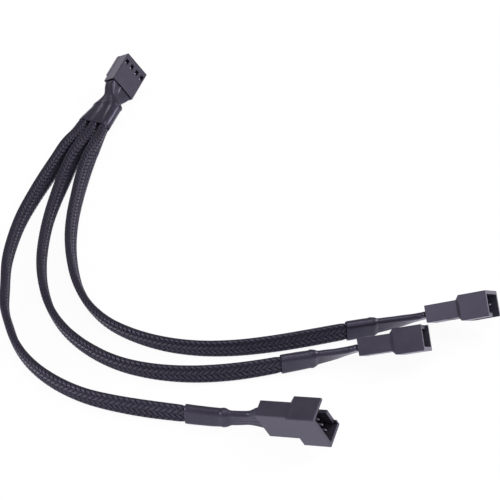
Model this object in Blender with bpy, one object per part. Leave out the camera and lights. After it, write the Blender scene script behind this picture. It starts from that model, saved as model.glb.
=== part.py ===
"""Fan splitter cable: one four-way female plug, three flat braided branches, three male sockets.

The cable lies on a table, as in the photograph, with the table at Z = 0. All sizes are in
millimetres and are turned into metres at the end. A connector is modelled in its own frame:
+X runs from the wires to the mating end, +Y along the row of contacts, +Z to the keyed side.
"""
import bpy
import bmesh
from math import cos, pi, radians, sin, sqrt
from mathutils import Matrix, Vector

MM = 0.001

# Contacts
PIN_PITCH = 2.54
PIN_COUNT = 4
PIN_SIDE = 0.64
PIN_TIP_TAPER = 0.7
CONTACT_WIDTH = 1.75
CONTACT_HEIGHT = 2.2
CRIMP_WING = 0.2
CRIMP_START = 2.0
CRIMP_LENGTH = 3.0
SEAT_GAP = 0.3

# Wires
WIRE_DIAMETER = 1.0
WIRE_GAP = 0.15
LAYER_GAP = 0.2

# Braided sleeves
BRAID_WALL = 0.3
BRAID_CLEARANCE = 0.15
BRAID_BULGE = 0.2

# Heat shrink
SHRINK_WALL = 0.3
SHRINK_CLEARANCE = 0.15
FAN_LENGTH = 5.0
RIDGE_HEIGHT = 0.3
RIDGE_HALF_LENGTH = 0.6
JUNCTION_LENGTH = 18.7
JUNCTION_FAN = 6.0
BUNDLE_START = 4.6
BUNDLE_GAP = 0.1
BRAID_INSET = 8.9
MOUTH_TUCK = 0.4

# Connectors
BAY_WIDTH = 2.1
FIT = 0.15
SHROUD_FIT = 0.22
FEMALE_LENGTH = 11.8
FEMALE_SKIN = 0.45
FEMALE_FRONT_WALL = 0.8
PIN_HOLE = 1.1
FUNNEL_MOUTH = 1.6
FUNNEL_DEPTH = 0.4
WINDOW_WIDTH = 1.3
WINDOW_LENGTH = 1.9
WINDOW_FROM_FRONT = 1.9
TANG_WIDTH = 0.7
RIB_WIDTH = 0.75
RIB_HEIGHT = 0.6
RIB_LENGTH = 9.0
MALE_REAR_LENGTH = 9.0
MALE_REAR_THICKNESS = 4.8
MALE_SHOULDER_LENGTH = 1.2
SHROUD_LENGTH = 7.8
SHROUD_WALL = 1.0
SHROUD_FLOOR = 0.6
KEY_GAP_START = 1.0
KEY_TAB_START = 5.9
KEY_TAB_END = 10.55
KEY_GAP_DEPTH = 6.4
KEY_TAB_RECESS = 0.7
PIN_SETBACK = 1.5
CORNER_CHAMFER = 0.2

# Lie of the branches
FLATTEN_START = 2.0
FLATTEN_LENGTH = 22.0
BRAID_STEP = 8.5
TURN_LENGTH = 14.0
TABLE_GAP = 0.1

# Where the cable has its sections near a housing, as parts of the length of its fan, and in its bay
FAN_PARTS = (0.25, 0.5, 0.75, 1.0)
BAY_STEP = 1.0

# Where the cable's box has its middle on the table
TABLE_CENTER = Vector((6.94, 0.58, 0.0))

WIRE_PITCH = WIRE_DIAMETER + WIRE_GAP
LAYER_PITCH = WIRE_DIAMETER + LAYER_GAP
WIRE_RADIUS = WIRE_DIAMETER / 2
PAIR_RADIUS = WIRE_PITCH / 2
WIRE_ROOM = WIRE_RADIUS + BRAID_CLEARANCE
ROUND_ROOM = PAIR_RADIUS * sqrt(2) + WIRE_ROOM
BUNDLE_PITCH = 2 * (ROUND_ROOM + BRAID_WALL) + BUNDLE_GAP

FEMALE_BAY_HEIGHT = 2 * LAYER_PITCH + WIRE_DIAMETER + 2 * (FIT + BUNDLE_GAP)
FEMALE_THICKNESS = FEMALE_BAY_HEIGHT + 2 * FEMALE_SKIN
FEMALE_WIDTH = PIN_COUNT * PIN_PITCH
MALE_BAY_HEIGHT = CONTACT_HEIGHT + 2 * FIT
MALE_REAR_WIDTH = PIN_COUNT * PIN_PITCH
CAVITY_WIDTH = FEMALE_WIDTH + 2 * SHROUD_FIT
CAVITY_HEIGHT = FEMALE_THICKNESS + 2 * FIT
SHROUD_WIDTH = CAVITY_WIDTH + 2 * SHROUD_WALL
SHROUD_THICKNESS = CAVITY_HEIGHT + 2 * SHROUD_WALL
MALE_LENGTH = MALE_REAR_LENGTH + MALE_SHOULDER_LENGTH + SHROUD_LENGTH
CAVITY_FLOOR = MALE_REAR_LENGTH + MALE_SHOULDER_LENGTH + SHROUD_FLOOR
CRIMP_END = CRIMP_START + CRIMP_LENGTH
WIRE_END = CRIMP_END - SEAT_GAP
MOUTH_HEIGHT = ROUND_ROOM + BRAID_WALL + SHRINK_CLEARANCE + SHRINK_WALL + TABLE_GAP
FEMALE_SECTIONS = [(0, FEMALE_WIDTH, FEMALE_THICKNESS), (FEMALE_LENGTH, FEMALE_WIDTH, FEMALE_THICKNESS)]
MALE_SECTIONS = [(0, MALE_REAR_WIDTH, MALE_REAR_THICKNESS),
                 (MALE_REAR_LENGTH, MALE_REAR_WIDTH, MALE_REAR_THICKNESS),
                 (MALE_REAR_LENGTH + MALE_SHOULDER_LENGTH, SHROUD_WIDTH, SHROUD_THICKNESS),
                 (MALE_LENGTH, SHROUD_WIDTH, SHROUD_THICKNESS)]
TURN_START = BRAID_INSET + SHRINK_CLEARANCE + BUNDLE_GAP

# How each connector lies: the middle of its wire side on the table, the way the cable runs there,
# its climb, and the lean of the contact row away from upright, out of the loop. All in degrees.
FEMALE_LIE = dict(x=-43.3, y=79.1, heading=-112.3, pitch=-13.4, lean=32.7)
BRANCHES = {
    "outer": dict(side=1, flipped=True, contacts=(1, 2, 3, 4), braid_end=10.2, shrink=21.5,
                  lie=dict(x=4.0, y=-78.2, heading=-26.2, pitch=17.9, lean=19.7)),
    "middle": dict(side=0, flipped=True, contacts=(1, 2, 4), braid_end=13.3, shrink=22.9,
                   lie=dict(x=30.4, y=-49.6, heading=-5.9, pitch=16.3, lean=48.5)),
    "inner": dict(side=-1, flipped=False, contacts=(1, 2, 4), braid_end=16.3, shrink=24.6,
                  lie=dict(x=50.3, y=-35.3, heading=-10.8, pitch=21.4, lean=50.0)),
}

# Mouth of the junction, where the three sleeves come out: x and y on the table, and the share of
# the plug's lean that is left at the neck
JUNCTION_MOUTH = (-50.7, 62.0)
NECK_LEAN = 0.8

# Route of each sleeve from the junction's mouth to its connector: x, y, lean in degrees and how far
# it is lifted off the table
ROUTES = {
    "outer": [
        (-55.8, 58.3, 8, 0), (-58.1, 50.7, 20, 0), (-60.2, 42.5, 30, 0), (-62.8, 33.7, 32, 0),
        (-65.9, 22.5, 23, 0), (-68.5, 11.4, 17, 0), (-70.0, 0.5, 14, 0), (-70.6, -10.4, 11, 0),
        (-69.9, -21.0, 8, 0), (-69.0, -30.8, 10, 0), (-67.0, -38.0, 13, 0), (-64.0, -46.5, 15, 0),
        (-59.5, -54.1, 14, 0), (-53.0, -61.0, 11, 0), (-44.5, -66.7, 8, 0), (-34.3, -70.4, 0, 0),
        (-26.3, -72.3, -4, 0), (-18.4, -74.0, 0, 0), (-12.3, -75.3, 5, 0.2), (-6.2, -76.4, 10, 0.6),
    ],
    "middle": [
        (-51.9, 57.3, 7, 0), (-53.8, 50.7, 18, 0), (-55.7, 42.5, 31, 0), (-57.3, 33.7, 33, 0),
        (-59.0, 22.5, 21, 0), (-60.3, 11.4, 14, 0), (-60.8, 0.5, 14, 0), (-60.5, -10.4, 15, 0),
        (-58.9, -21.1, 14, 0), (-55.9, -31.2, 17, 0), (-50.7, -40.8, 17, 0), (-43.8, -48.4, 14, 0),
        (-35.3, -54.2, 12, 0), (-27.0, -57.1, 6, 0), (-17.0, -58.4, -2, 0), (-6.7, -57.8, -6, 0),
        (3.0, -55.9, -2, 0), (8.5, -54.8, 3, 0.1), (17.3, -52.8, 13, 0.5), (24.0, -51.3, 31, 1.2),
    ],
    "inner": [
        (-48.0, 57.3, 7, 0), (-49.3, 50.7, 18, 0), (-50.7, 42.5, 31, 0), (-51.8, 34.0, 33, 0),
        (-52.7, 22.5, 26, 0), (-53.2, 11.5, 25, 0), (-52.9, 0.5, 25, 0), (-51.5, -10.4, 22, 0),
        (-48.9, -21.1, 20, 0), (-45.1, -29.5, 24, 0), (-39.3, -37.0, 23, 0), (-31.8, -42.4, 18, 0),
        (-23.4, -46.0, 12, 0), (-14.0, -47.8, 7, 0), (-4.5, -47.7, 2, 0), (5.5, -46.1, -3, 0),
        (16.0, -43.5, -6, 0), (26.4, -40.9, -3, 0), (34.2, -39.2, 7, 0.3), (42.5, -37.3, 28, 1.0),
    ],
}

COLLECTION = bpy.data.collections.new("fan_splitter_cable")
CUTTERS = bpy.data.collections.new("cutters")


def clear_scene():
    for old in list(bpy.data.objects):
        bpy.data.objects.remove(old, do_unlink=True)
    for collection in (COLLECTION, CUTTERS):
        bpy.context.scene.collection.children.link(collection)


def material(name, color, roughness, metallic=0.0):
    finish = bpy.data.materials.new(name)
    finish.use_nodes = True
    shader = finish.node_tree.nodes["Principled BSDF"]
    shader.inputs["Base Color"].default_value = (*color, 1.0)
    shader.inputs["Roughness"].default_value = roughness
    shader.inputs["Metallic"].default_value = metallic
    return finish


def add_mesh_object(name, bm, finish, parent=None):
    """Turns a bmesh in millimetres into an object of the cable."""
    bmesh.ops.recalc_face_normals(bm, faces=bm.faces)
    bmesh.ops.scale(bm, vec=(MM, MM, MM), verts=bm.verts)
    mesh = bpy.data.meshes.new(name)
    bm.to_mesh(mesh)
    bm.free()
    mesh.materials.append(finish)
    piece = bpy.data.objects.new(name, mesh)
    piece.parent = parent
    COLLECTION.objects.link(piece)
    return piece


def smooth_step(value):
    value = min(max(value, 0.0), 1.0)
    return value * value * (3 - 2 * value)


# Frames of the connectors and the cable

def run_axes(direction, lean):
    """The wide and the thin axis of a flat cable that runs along direction and leans outward."""
    direction = direction.normalized()
    outward = direction.cross(Vector((0, 0, 1))).normalized()
    upward = outward.cross(direction)
    wide = upward * cos(radians(lean)) + outward * sin(radians(lean))
    return wide, direction.cross(wide)


def lie_axes(lie):
    """Direction, wide axis and thin axis of the cable at a connector."""
    heading, pitch = radians(lie["heading"]), radians(lie["pitch"])
    direction = Vector((cos(pitch) * cos(heading), cos(pitch) * sin(heading), sin(pitch)))
    return direction, *run_axes(direction, lie["lean"])


def connector_frame(lie, corners, facing, row_side, key_side):
    """Places a connector so that the lowest of its corners touches the table.

    facing, row_side and key_side are 1 where the connector's +X, +Y and +Z follow the cable's
    direction, its wide axis and its thin axis, and -1 where they go against them.
    """
    direction, wide, thin = lie_axes(lie)
    axes = Matrix((direction * facing, wide * row_side, thin * key_side)).transposed()
    lowest = min((axes @ Vector(corner)).z for corner in corners)
    place = Vector((lie["x"], lie["y"], -lowest)) - TABLE_CENTER
    return axes, place


def outline_corners(sections):
    """All corners of a housing's outer form, for finding the one it lies on."""
    corners = []
    for x, width, height in sections:
        corners += [(x, y, z) for y, z in corner_ring(width / 2, height / 2, CORNER_CHAMFER)]
    return corners


def pin_row(contact):
    """Place of a contact along the row of a male socket; the female's row is its mirror image."""
    return ((PIN_COUNT + 1) / 2 - contact) * PIN_PITCH


# Solids of the connectors

def corner_ring(half_width, half_height, chamfer):
    """Eight corners of a chamfered rectangle, in order round it."""
    points = []
    for y, z in ((1, 1), (-1, 1), (-1, -1), (1, -1)):
        ends = [(y * half_width, z * (half_height - chamfer)), (y * (half_width - chamfer), z * half_height)]
        points += ends if y * z > 0 else reversed(ends)
    return points


def moulded_body(name, sections, finish, parent):
    """Lofts a housing's outer form through sections of (x, width, height) with chamfered corners."""
    bm = bmesh.new()
    rings = []
    for x, width, height in sections:
        ring = corner_ring(width / 2, height / 2, CORNER_CHAMFER)
        rings.append([bm.verts.new((x, y, z)) for y, z in ring])
    for first, second in zip(rings, rings[1:]):
        for i in range(len(first)):
            j = (i + 1) % len(first)
            bm.faces.new((first[i], first[j], second[j], second[i]))
    bm.faces.new(rings[0])
    bm.faces.new(rings[-1])
    return add_mesh_object(name, bm, finish, parent)


def box_into(bm, x, y, z):
    """Adds a box to bm; x, y and z are (low, high) pairs."""
    made = bmesh.ops.create_cube(bm, size=1.0)["verts"]
    size = (x[1] - x[0], y[1] - y[0], z[1] - z[0])
    middle = ((x[0] + x[1]) / 2, (y[0] + y[1]) / 2, (z[0] + z[1]) / 2)
    bmesh.ops.scale(bm, vec=size, verts=made)
    bmesh.ops.translate(bm, vec=middle, verts=made)


def combine(piece, boxes, operation):
    """Cuts boxes that don't touch each other from a piece, or joins them to it."""
    bm = bmesh.new()
    for box in boxes:
        box_into(bm, *box)
    combine_mesh(piece, bm, operation)


def combine_mesh(piece, bm, operation):
    """Cuts a bmesh in the piece's own frame from it, or joins it to it, with a Boolean."""
    tool = add_mesh_object(f"{piece.name}_{operation.lower()}_{len(piece.modifiers)}", bm,
                           piece.data.materials[0], piece.parent)
    COLLECTION.objects.unlink(tool)
    CUTTERS.objects.link(tool)
    tool.hide_render = True
    tool.display_type = "WIRE"
    step = piece.modifiers.new(tool.name, "BOOLEAN")
    step.operation = operation
    step.solver = "EXACT"
    step.object = tool


def around(middle, size):
    """The (low, high) pair of a size about its middle."""
    return (middle - size / 2, middle + size / 2)


# How far a cutter reaches past a face, and how close two points are the same
OVERCUT = 0.5
MERGE = 1e-4


def female_housing(parent, finish):
    """Plug shell: a bay for each contact, tall at the wires, with a latch window and a pin hole."""
    body = moulded_body("female_housing", FEMALE_SECTIONS, finish, parent)
    side = FEMALE_THICKNESS / 2
    key_tab = [KEY_TAB_START - SHROUD_WIDTH / 2, KEY_TAB_END - SHROUD_WIDTH / 2]
    rib_rows = [-key_tab[0] + FIT + RIB_WIDTH / 2, -key_tab[1] - FIT - RIB_WIDTH / 2]
    rib_start = FEMALE_LENGTH - RIB_LENGTH
    rib_rise = (side - OVERCUT, side + RIB_HEIGHT)
    for row in rib_rows:
        combine(body, [((rib_start, FEMALE_LENGTH), around(row, RIB_WIDTH), rib_rise)], "UNION")
    rows = [-pin_row(contact) for contact in range(1, PIN_COUNT + 1)]
    front = FEMALE_LENGTH - FEMALE_FRONT_WALL
    wing_end = CRIMP_END + OVERCUT + FIT
    combine(body, [((-OVERCUT, wing_end), around(row, BAY_WIDTH), around(0, FEMALE_BAY_HEIGHT))
                   for row in rows], "DIFFERENCE")
    combine(body, [((wing_end - OVERCUT, front), around(row, BAY_WIDTH), around(0, CONTACT_HEIGHT + 2 * FIT))
                   for row in rows], "DIFFERENCE")
    combine(body, [((front - OVERCUT, FEMALE_LENGTH + OVERCUT), around(row, PIN_HOLE), around(0, PIN_HOLE))
                   for row in rows], "DIFFERENCE")
    combine_mesh(body, pin_funnels(rows), "DIFFERENCE")
    window_end = FEMALE_LENGTH - WINDOW_FROM_FRONT
    combine(body, [((window_end - WINDOW_LENGTH, window_end), around(row, WINDOW_WIDTH), (-side - OVERCUT, 0))
                   for row in rows], "DIFFERENCE")
    return body


def pin_funnels(rows):
    """Tapered mouths that guide the pins into the mating face."""
    bm = bmesh.new()
    slope = (FUNNEL_MOUTH - PIN_HOLE) / FUNNEL_DEPTH
    mouth = FUNNEL_MOUTH + slope * OVERCUT
    for row in rows:
        made = bmesh.ops.create_cone(bm, cap_ends=True, segments=4, radius1=PIN_HOLE / sqrt(2),
                                     radius2=mouth / sqrt(2), depth=FUNNEL_DEPTH + OVERCUT)["verts"]
        bmesh.ops.rotate(bm, verts=made, cent=(0, 0, 0), matrix=Matrix.Rotation(pi / 4, 3, "Z"))
        bmesh.ops.rotate(bm, verts=made, cent=(0, 0, 0), matrix=Matrix.Rotation(pi / 2, 3, "Y"))
        middle = FEMALE_LENGTH - FUNNEL_DEPTH + (FUNNEL_DEPTH + OVERCUT) / 2
        bmesh.ops.translate(bm, vec=(middle, row, 0), verts=made)
    return bm


def crimp_wings(row, height):
    """The two sides of a contact's crimp, which hold the wire between them."""
    inner = CONTACT_WIDTH / 2 - CRIMP_WING
    for side in (-1, 1):
        edges = sorted((row + side * inner, row + side * CONTACT_WIDTH / 2))
        yield ((CRIMP_START, CRIMP_END + OVERCUT), tuple(edges), around(0, height))


def female_contact(contact, parent, finish):
    """Crimp contact of the plug: a bored box, two crimp wings and a latch tang in the window."""
    row = -pin_row(contact)
    front = FEMALE_LENGTH - FEMALE_FRONT_WALL - FIT
    bm = bmesh.new()
    box_into(bm, (CRIMP_END, front), around(row, CONTACT_WIDTH), around(0, CONTACT_HEIGHT))
    body = add_mesh_object(f"female_contact_{contact}", bm, finish, parent)
    wing_height = FEMALE_BAY_HEIGHT - 2 * FIT
    for wing in crimp_wings(row, wing_height):
        combine(body, [wing], "UNION")
    window_end = FEMALE_LENGTH - WINDOW_FROM_FRONT
    tang_start = window_end - WINDOW_LENGTH + FIT
    tang_reach = FEMALE_THICKNESS / 2 - FEMALE_SKIN
    combine(body, [((tang_start, tang_start + WINDOW_LENGTH / 3), around(row, TANG_WIDTH), (-tang_reach, 0))],
            "UNION")
    bore = PIN_SIDE + 2 * FIT
    combine(body, [((CRIMP_END + OVERCUT, front + OVERCUT), around(row, bore), around(0, bore))],
            "DIFFERENCE")
    return body


def male_housing(name, parent, finish):
    """Socket shell: bays for the pins behind, and a wider shroud with one keyed side in front."""
    body = moulded_body(f"male_housing_{name}", MALE_SECTIONS, finish, parent)
    rim = MALE_LENGTH + OVERCUT
    combine(body, [((CAVITY_FLOOR, rim), around(0, CAVITY_WIDTH), around(0, CAVITY_HEIGHT))], "DIFFERENCE")
    rows = [pin_row(contact) for contact in range(1, PIN_COUNT + 1)]
    combine(body, [((-OVERCUT, MALE_REAR_LENGTH), around(row, BAY_WIDTH), around(0, MALE_BAY_HEIGHT))
                   for row in rows], "DIFFERENCE")
    bore = PIN_SIDE + 2 * FIT
    combine(body, [((MALE_REAR_LENGTH - OVERCUT, CAVITY_FLOOR + OVERCUT), around(row, bore), around(0, bore))
                   for row in rows], "DIFFERENCE")
    key_cuts(body, rim)
    side = MALE_REAR_THICKNESS / 2
    window_start = MALE_REAR_LENGTH - WINDOW_FROM_FRONT - WINDOW_LENGTH
    window = (window_start, window_start + WINDOW_LENGTH)
    combine(body, [(window, around(row, WINDOW_WIDTH), (0, side + OVERCUT)) for row in rows], "DIFFERENCE")
    return body


def key_cuts(body, rim):
    """The open side of the shroud: a wide gap, a set-back tab and a groove for the female's rib."""
    edge = -SHROUD_WIDTH / 2
    inner, outer = CAVITY_HEIGHT / 2, SHROUD_THICKNESS / 2
    through = (0, outer + OVERCUT)
    gap = (edge + KEY_GAP_START, edge + KEY_TAB_START)
    tab = (edge + KEY_TAB_START - FIT, edge + KEY_TAB_END)
    groove = (edge + KEY_TAB_END, edge + KEY_TAB_END + RIB_WIDTH + 2 * FIT)
    combine(body, [((MALE_LENGTH - KEY_GAP_DEPTH, rim), gap, through)], "DIFFERENCE")
    combine(body, [((MALE_LENGTH - KEY_TAB_RECESS, rim), tab, through)], "DIFFERENCE")
    combine(body, [((CAVITY_FLOOR, rim), groove, (0, inner + RIB_HEIGHT))], "DIFFERENCE")


def male_pin(name, contact, parent, finish):
    """Square pin with a body in the bay and two crimp wings."""
    row = pin_row(contact)
    tip = MALE_LENGTH - PIN_SETBACK
    bm = bmesh.new()
    box_into(bm, (CRIMP_END, MALE_REAR_LENGTH - FIT), around(row, CONTACT_WIDTH), around(0, CONTACT_HEIGHT))
    body = add_mesh_object(f"male_pin_{name}_{contact}", bm, finish, parent)
    for wing in crimp_wings(row, CONTACT_HEIGHT):
        combine(body, [wing], "UNION")
    pin = bmesh.new()
    box_into(pin, (CRIMP_END + OVERCUT, tip), around(row, PIN_SIDE), around(0, PIN_SIDE))
    taper_tip(pin, tip, row)
    combine_mesh(body, pin, "UNION")
    return body


def taper_tip(pin, tip, row):
    """Tapers the square pin over its last stretch to half its side."""
    bmesh.ops.bisect_plane(pin, geom=pin.verts[:] + pin.edges[:] + pin.faces[:],
                           plane_co=(tip - PIN_TIP_TAPER, row, 0), plane_no=(1, 0, 0), dist=MERGE)
    for vert in pin.verts:
        if vert.co.x > tip - PIN_TIP_TAPER + MERGE:
            vert.co.y = row + (vert.co.y - row) / 2
            vert.co.z /= 2


# The cable's run: stations that the wires, the sleeves and the heat shrink share

class Station:
    """One cross-section of a branch: its middle, its wide and thin axes, and how its wires lie.

    spread widens the row of wires, roundness is 1 for a square bundle and 0 for a flat row,
    and turn rotates the bundle inside its sleeve, in radians.
    """

    def __init__(self, middle, wide, thin, spread=1.0, roundness=0.0, turn=0.0):
        self.middle, self.wide, self.thin = middle, wide, thin
        self.spread, self.roundness, self.turn = spread, roundness, turn

    def point(self, across, through):
        return self.middle + self.wide * across + self.thin * through

    def wire_point(self, slot):
        """Middle of the wire in a slot from 0 to 3, counted along the wide axis."""
        flatness = sqrt(max(0.0, 1 - self.roundness ** 2))
        sign = 1 if slot >= 2 else -1
        if slot in (1, 2):
            across, through = sign * PAIR_RADIUS, sign * PAIR_RADIUS * self.roundness
        else:
            across = sign * PAIR_RADIUS * (1 + 2 * flatness)
            through = -sign * PAIR_RADIUS * self.roundness
        across *= self.spread
        turned = (across * cos(self.turn) - through * sin(self.turn),
                  across * sin(self.turn) + through * cos(self.turn))
        return self.point(*turned)

    def room(self):
        """Half width and half height of the space that the wires take, with their clearance."""
        flatness = sqrt(max(0.0, 1 - self.roundness ** 2))
        flat_across = 3 * PAIR_RADIUS * self.spread + WIRE_ROOM
        across = ROUND_ROOM + (flat_across - ROUND_ROOM) * flatness
        bulge = 2 * WIRE_GAP * flatness * self.roundness
        through = WIRE_ROOM + (ROUND_ROOM - WIRE_ROOM) * self.roundness + bulge
        slant = WIRE_GAP * (self.spread - 1)
        return across + slant, through + slant


class Run:
    """A smooth curve through rows of x, y, z and lean, read by its length from the start."""

    SAMPLES = 24

    def __init__(self, rows):
        rows = [Vector(row) for row in rows]
        gaps = [(second - first).xyz.length for first, second in zip(rows, rows[1:])]
        slopes = [(second - first) / gap for first, second, gap in zip(rows, rows[1:], gaps)]
        tangents = [slopes[0]]
        for i in range(1, len(slopes)):
            blend = slopes[i - 1] * gaps[i] + slopes[i] * gaps[i - 1]
            tangents.append(blend / (gaps[i - 1] + gaps[i]))
        tangents.append(slopes[-1])
        self.end_direction = slopes[-1].xyz
        self.rows = [rows[0]]
        for i, gap in enumerate(gaps):
            for step in range(1, self.SAMPLES + 1):
                t = step / self.SAMPLES
                arrived = t * t * (3 - 2 * t)
                self.rows.append(rows[i] * (1 - arrived) + rows[i + 1] * arrived
                                 + tangents[i] * (gap * t * (1 - t) ** 2)
                                 - tangents[i + 1] * (gap * t * t * (1 - t)))
        self.distance = [0.0]
        for first, second in zip(self.rows, self.rows[1:]):
            self.distance.append(self.distance[-1] + (second - first).xyz.length)
        self.length = self.distance[-1]

    def at(self, distance):
        """Middle, direction and lean at a distance along the run."""
        index = 0
        while index < len(self.distance) - 2 and self.distance[index + 1] < distance:
            index += 1
        first, second = self.rows[index], self.rows[index + 1]
        part = (distance - self.distance[index]) / (self.distance[index + 1] - self.distance[index])
        row = first.lerp(second, part)
        ahead = self.rows[min(index + 2, len(self.rows) - 1)]
        behind = self.rows[max(index - 1, 0)]
        return row.xyz, (ahead - behind).xyz, row.w


def fan_spread(distance, fan_length):
    """Spread of the wires at a distance outside a housing: the contact pitch at its wall."""
    full = PIN_PITCH / WIRE_PITCH
    return 1 + (full - 1) * smooth_step((fan_length - distance) / (fan_length + SEAT_GAP))


def junction_run(female_place):
    """Run of the stacked branches from the female's crimps to the junction's mouth."""
    direction, _, _ = lie_axes(FEMALE_LIE)
    lean = FEMALE_LIE["lean"]
    mouth = Vector((*JUNCTION_MOUTH, MOUTH_HEIGHT)) - TABLE_CENTER
    rows = [(*(female_place - direction * CRIMP_END), lean), (*female_place, lean),
            (*(female_place + direction * FAN_LENGTH), lean * NECK_LEAN), (*mouth, 0.0)]
    return Run(rows)


def parting(distance):
    """How far the three branches have parted in the junction: 0 when stacked, 1 in their sleeves."""
    return min(max((distance - BUNDLE_START) / (BRAID_INSET - BUNDLE_START), 0.0), 1.0)


def spaced(first, last, count):
    """Evenly spaced distances after first, up to last."""
    return [first + (last - first) * (i + 1) / count for i in range(count)]


def junction_steps():
    """Distances from the female housing at which the junction has a section."""
    fan = [JUNCTION_FAN * part for part in FAN_PARTS]
    neck = spaced(JUNCTION_FAN, BRAID_INSET, 3)
    over_braids = spaced(BRAID_INSET, JUNCTION_LENGTH - MOUTH_TUCK, 4)
    return [SEAT_GAP] + fan + neck + over_braids


def layer_pitch(distance):
    """Distance between the middles of two neighbouring branches in the junction."""
    return LAYER_PITCH + (BUNDLE_PITCH - LAYER_PITCH) * parting(distance)


def junction_station(run, distance, side):
    """Station of one branch at a distance from the female housing's wire side."""
    middle, direction, lean = run.at(distance + CRIMP_END)
    wide, thin = run_axes(direction, lean)
    parted = parting(distance)
    pitch = layer_pitch(distance)
    spread = fan_spread(distance, JUNCTION_FAN)
    return Station(middle + thin * side * pitch, wide, thin, spread, sin(pi / 2 * parted))


def branch_run(name, branch, mouth, place):
    """Run of a branch in the open, from the junction's mouth into its connector."""
    rows = [(*mouth, 0.0)]
    housing = (place.x + TABLE_CENTER.x, place.y + TABLE_CENTER.y)
    travelled = 0.0
    for x, y, lean, lift in ROUTES[name]:
        point = Vector((x, y, 0)) - TABLE_CENTER
        travelled += (point - Vector((rows[-1][0], rows[-1][1], 0))).length
        to_housing = sqrt((x - housing[0]) ** 2 + (y - housing[1]) ** 2)
        covered = to_housing < branch["shrink"] + BRAID_STEP / 2
        rows.append((point.x, point.y, rest_height(travelled, lean, covered) + lift, lean))
    direction, _, _ = lie_axes(branch["lie"])
    lean = branch["lie"]["lean"]
    for ahead in (0.0, CRIMP_END):
        rows.append((*(place + direction * ahead), lean))
    return Run(rows)


def open_roundness(distance):
    """Roundness of a branch in the open: a round bundle at the junction, a flat row further on."""
    return max(cos(pi / 2 * smooth_step((distance - FLATTEN_START) / FLATTEN_LENGTH)), 0.0)


def rest_height(distance, lean, covered):
    """Height of a sleeve's middle when it leans on the table, bare or covered by heat shrink."""
    nowhere = Vector((0, 0, 0))
    across, through = Station(nowhere, nowhere, nowhere, 1.0, open_roundness(distance)).room()
    over_braid = SHRINK_CLEARANCE + SHRINK_WALL if covered else BRAID_BULGE
    return (across - through) * cos(radians(lean)) + through + BRAID_WALL + over_braid + TABLE_GAP


def socket_steps(branch):
    """Distances from the male housing at which the cable has a section under the heat shrink."""
    braid_end, shrink = branch["braid_end"], branch["shrink"]
    ridge = braid_end + SEAT_GAP
    below = ridge - 2 * RIDGE_HALF_LENGTH
    mouth = [shrink, (shrink + ridge) / 2 + RIDGE_HALF_LENGTH]
    bump = [ridge + 2 * RIDGE_HALF_LENGTH, ridge + RIDGE_HALF_LENGTH, ridge, below]
    neck = spaced(below, FAN_LENGTH, 3)
    fan = [FAN_LENGTH * part for part in reversed(FAN_PARTS[:-1])]
    return mouth + bump + neck + fan + [SEAT_GAP]


def branch_stations(name, branch, junction, place):
    """All stations of a branch as (part of the cable, distance, station), from plug to socket.

    The distance is counted from the female housing in the junction, along the run in the open,
    and from the male housing, backwards, in the connector's heat shrink.
    """
    stations = []
    for distance in (-WIRE_END, -BAY_STEP, *junction_steps(), JUNCTION_LENGTH):
        station = junction_station(junction, distance, branch["side"])
        station.turn = bundle_turn(branch, distance)
        stations.append(("junction", distance, station))
    mouth = stations[-1][2].middle
    run = branch_run(name, branch, mouth, place)
    housing_at = run.length - CRIMP_END
    open_end = housing_at - branch["shrink"]
    count = round((open_end - FLATTEN_START) / BRAID_STEP)
    for distance in [FLATTEN_START] + spaced(FLATTEN_START, open_end, count)[:-1]:
        stations.append(("open", distance, open_station(run, distance, branch)))
    for distance in (*socket_steps(branch), -BAY_STEP, -WIRE_END):
        stations.append(("socket", distance, open_station(run, housing_at - distance, branch)))
    return run, stations


def bundle_turn(branch, distance):
    """Turn of the wires in their sleeve, at a distance from the female housing along the cable."""
    if not branch["flipped"]:
        return 0.0
    return pi * smooth_step((distance - TURN_START) / TURN_LENGTH)


def open_station(run, distance, branch):
    """Station at a distance from the junction's end, squared to the housing over the fan."""
    housing_at = run.length - CRIMP_END
    middle, direction, lean = run.at(distance)
    squared = smooth_step((distance - housing_at + FAN_LENGTH) / FAN_LENGTH)
    direction = direction.normalized().lerp(run.end_direction, squared)
    wide, thin = run_axes(direction, lean)
    spread = fan_spread(housing_at - distance, FAN_LENGTH)
    turn = bundle_turn(branch, JUNCTION_LENGTH + distance)
    return Station(middle, wide, thin, spread, open_roundness(distance), turn)


# Sections and lofts of the soft pieces

CORNER_STEPS = 3


def rounded_ring(half_wide, half_thin, radius):
    """Points of a rounded rectangle, with one more point in the middle of its two wide sides."""
    points = []
    for quarter in range(4):
        center_wide = (half_wide - radius) * (1 if quarter in (0, 3) else -1)
        center_thin = (half_thin - radius) * (1 if quarter in (0, 1) else -1)
        for step in range(CORNER_STEPS):
            angle = pi / 2 * (quarter + (step + 0.5) / CORNER_STEPS)
            points.append((center_wide + radius * cos(angle), center_thin + radius * sin(angle)))
        if quarter in (0, 2):
            first = points[-1]
            points.append((0.0, first[1]))
    return points


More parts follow.
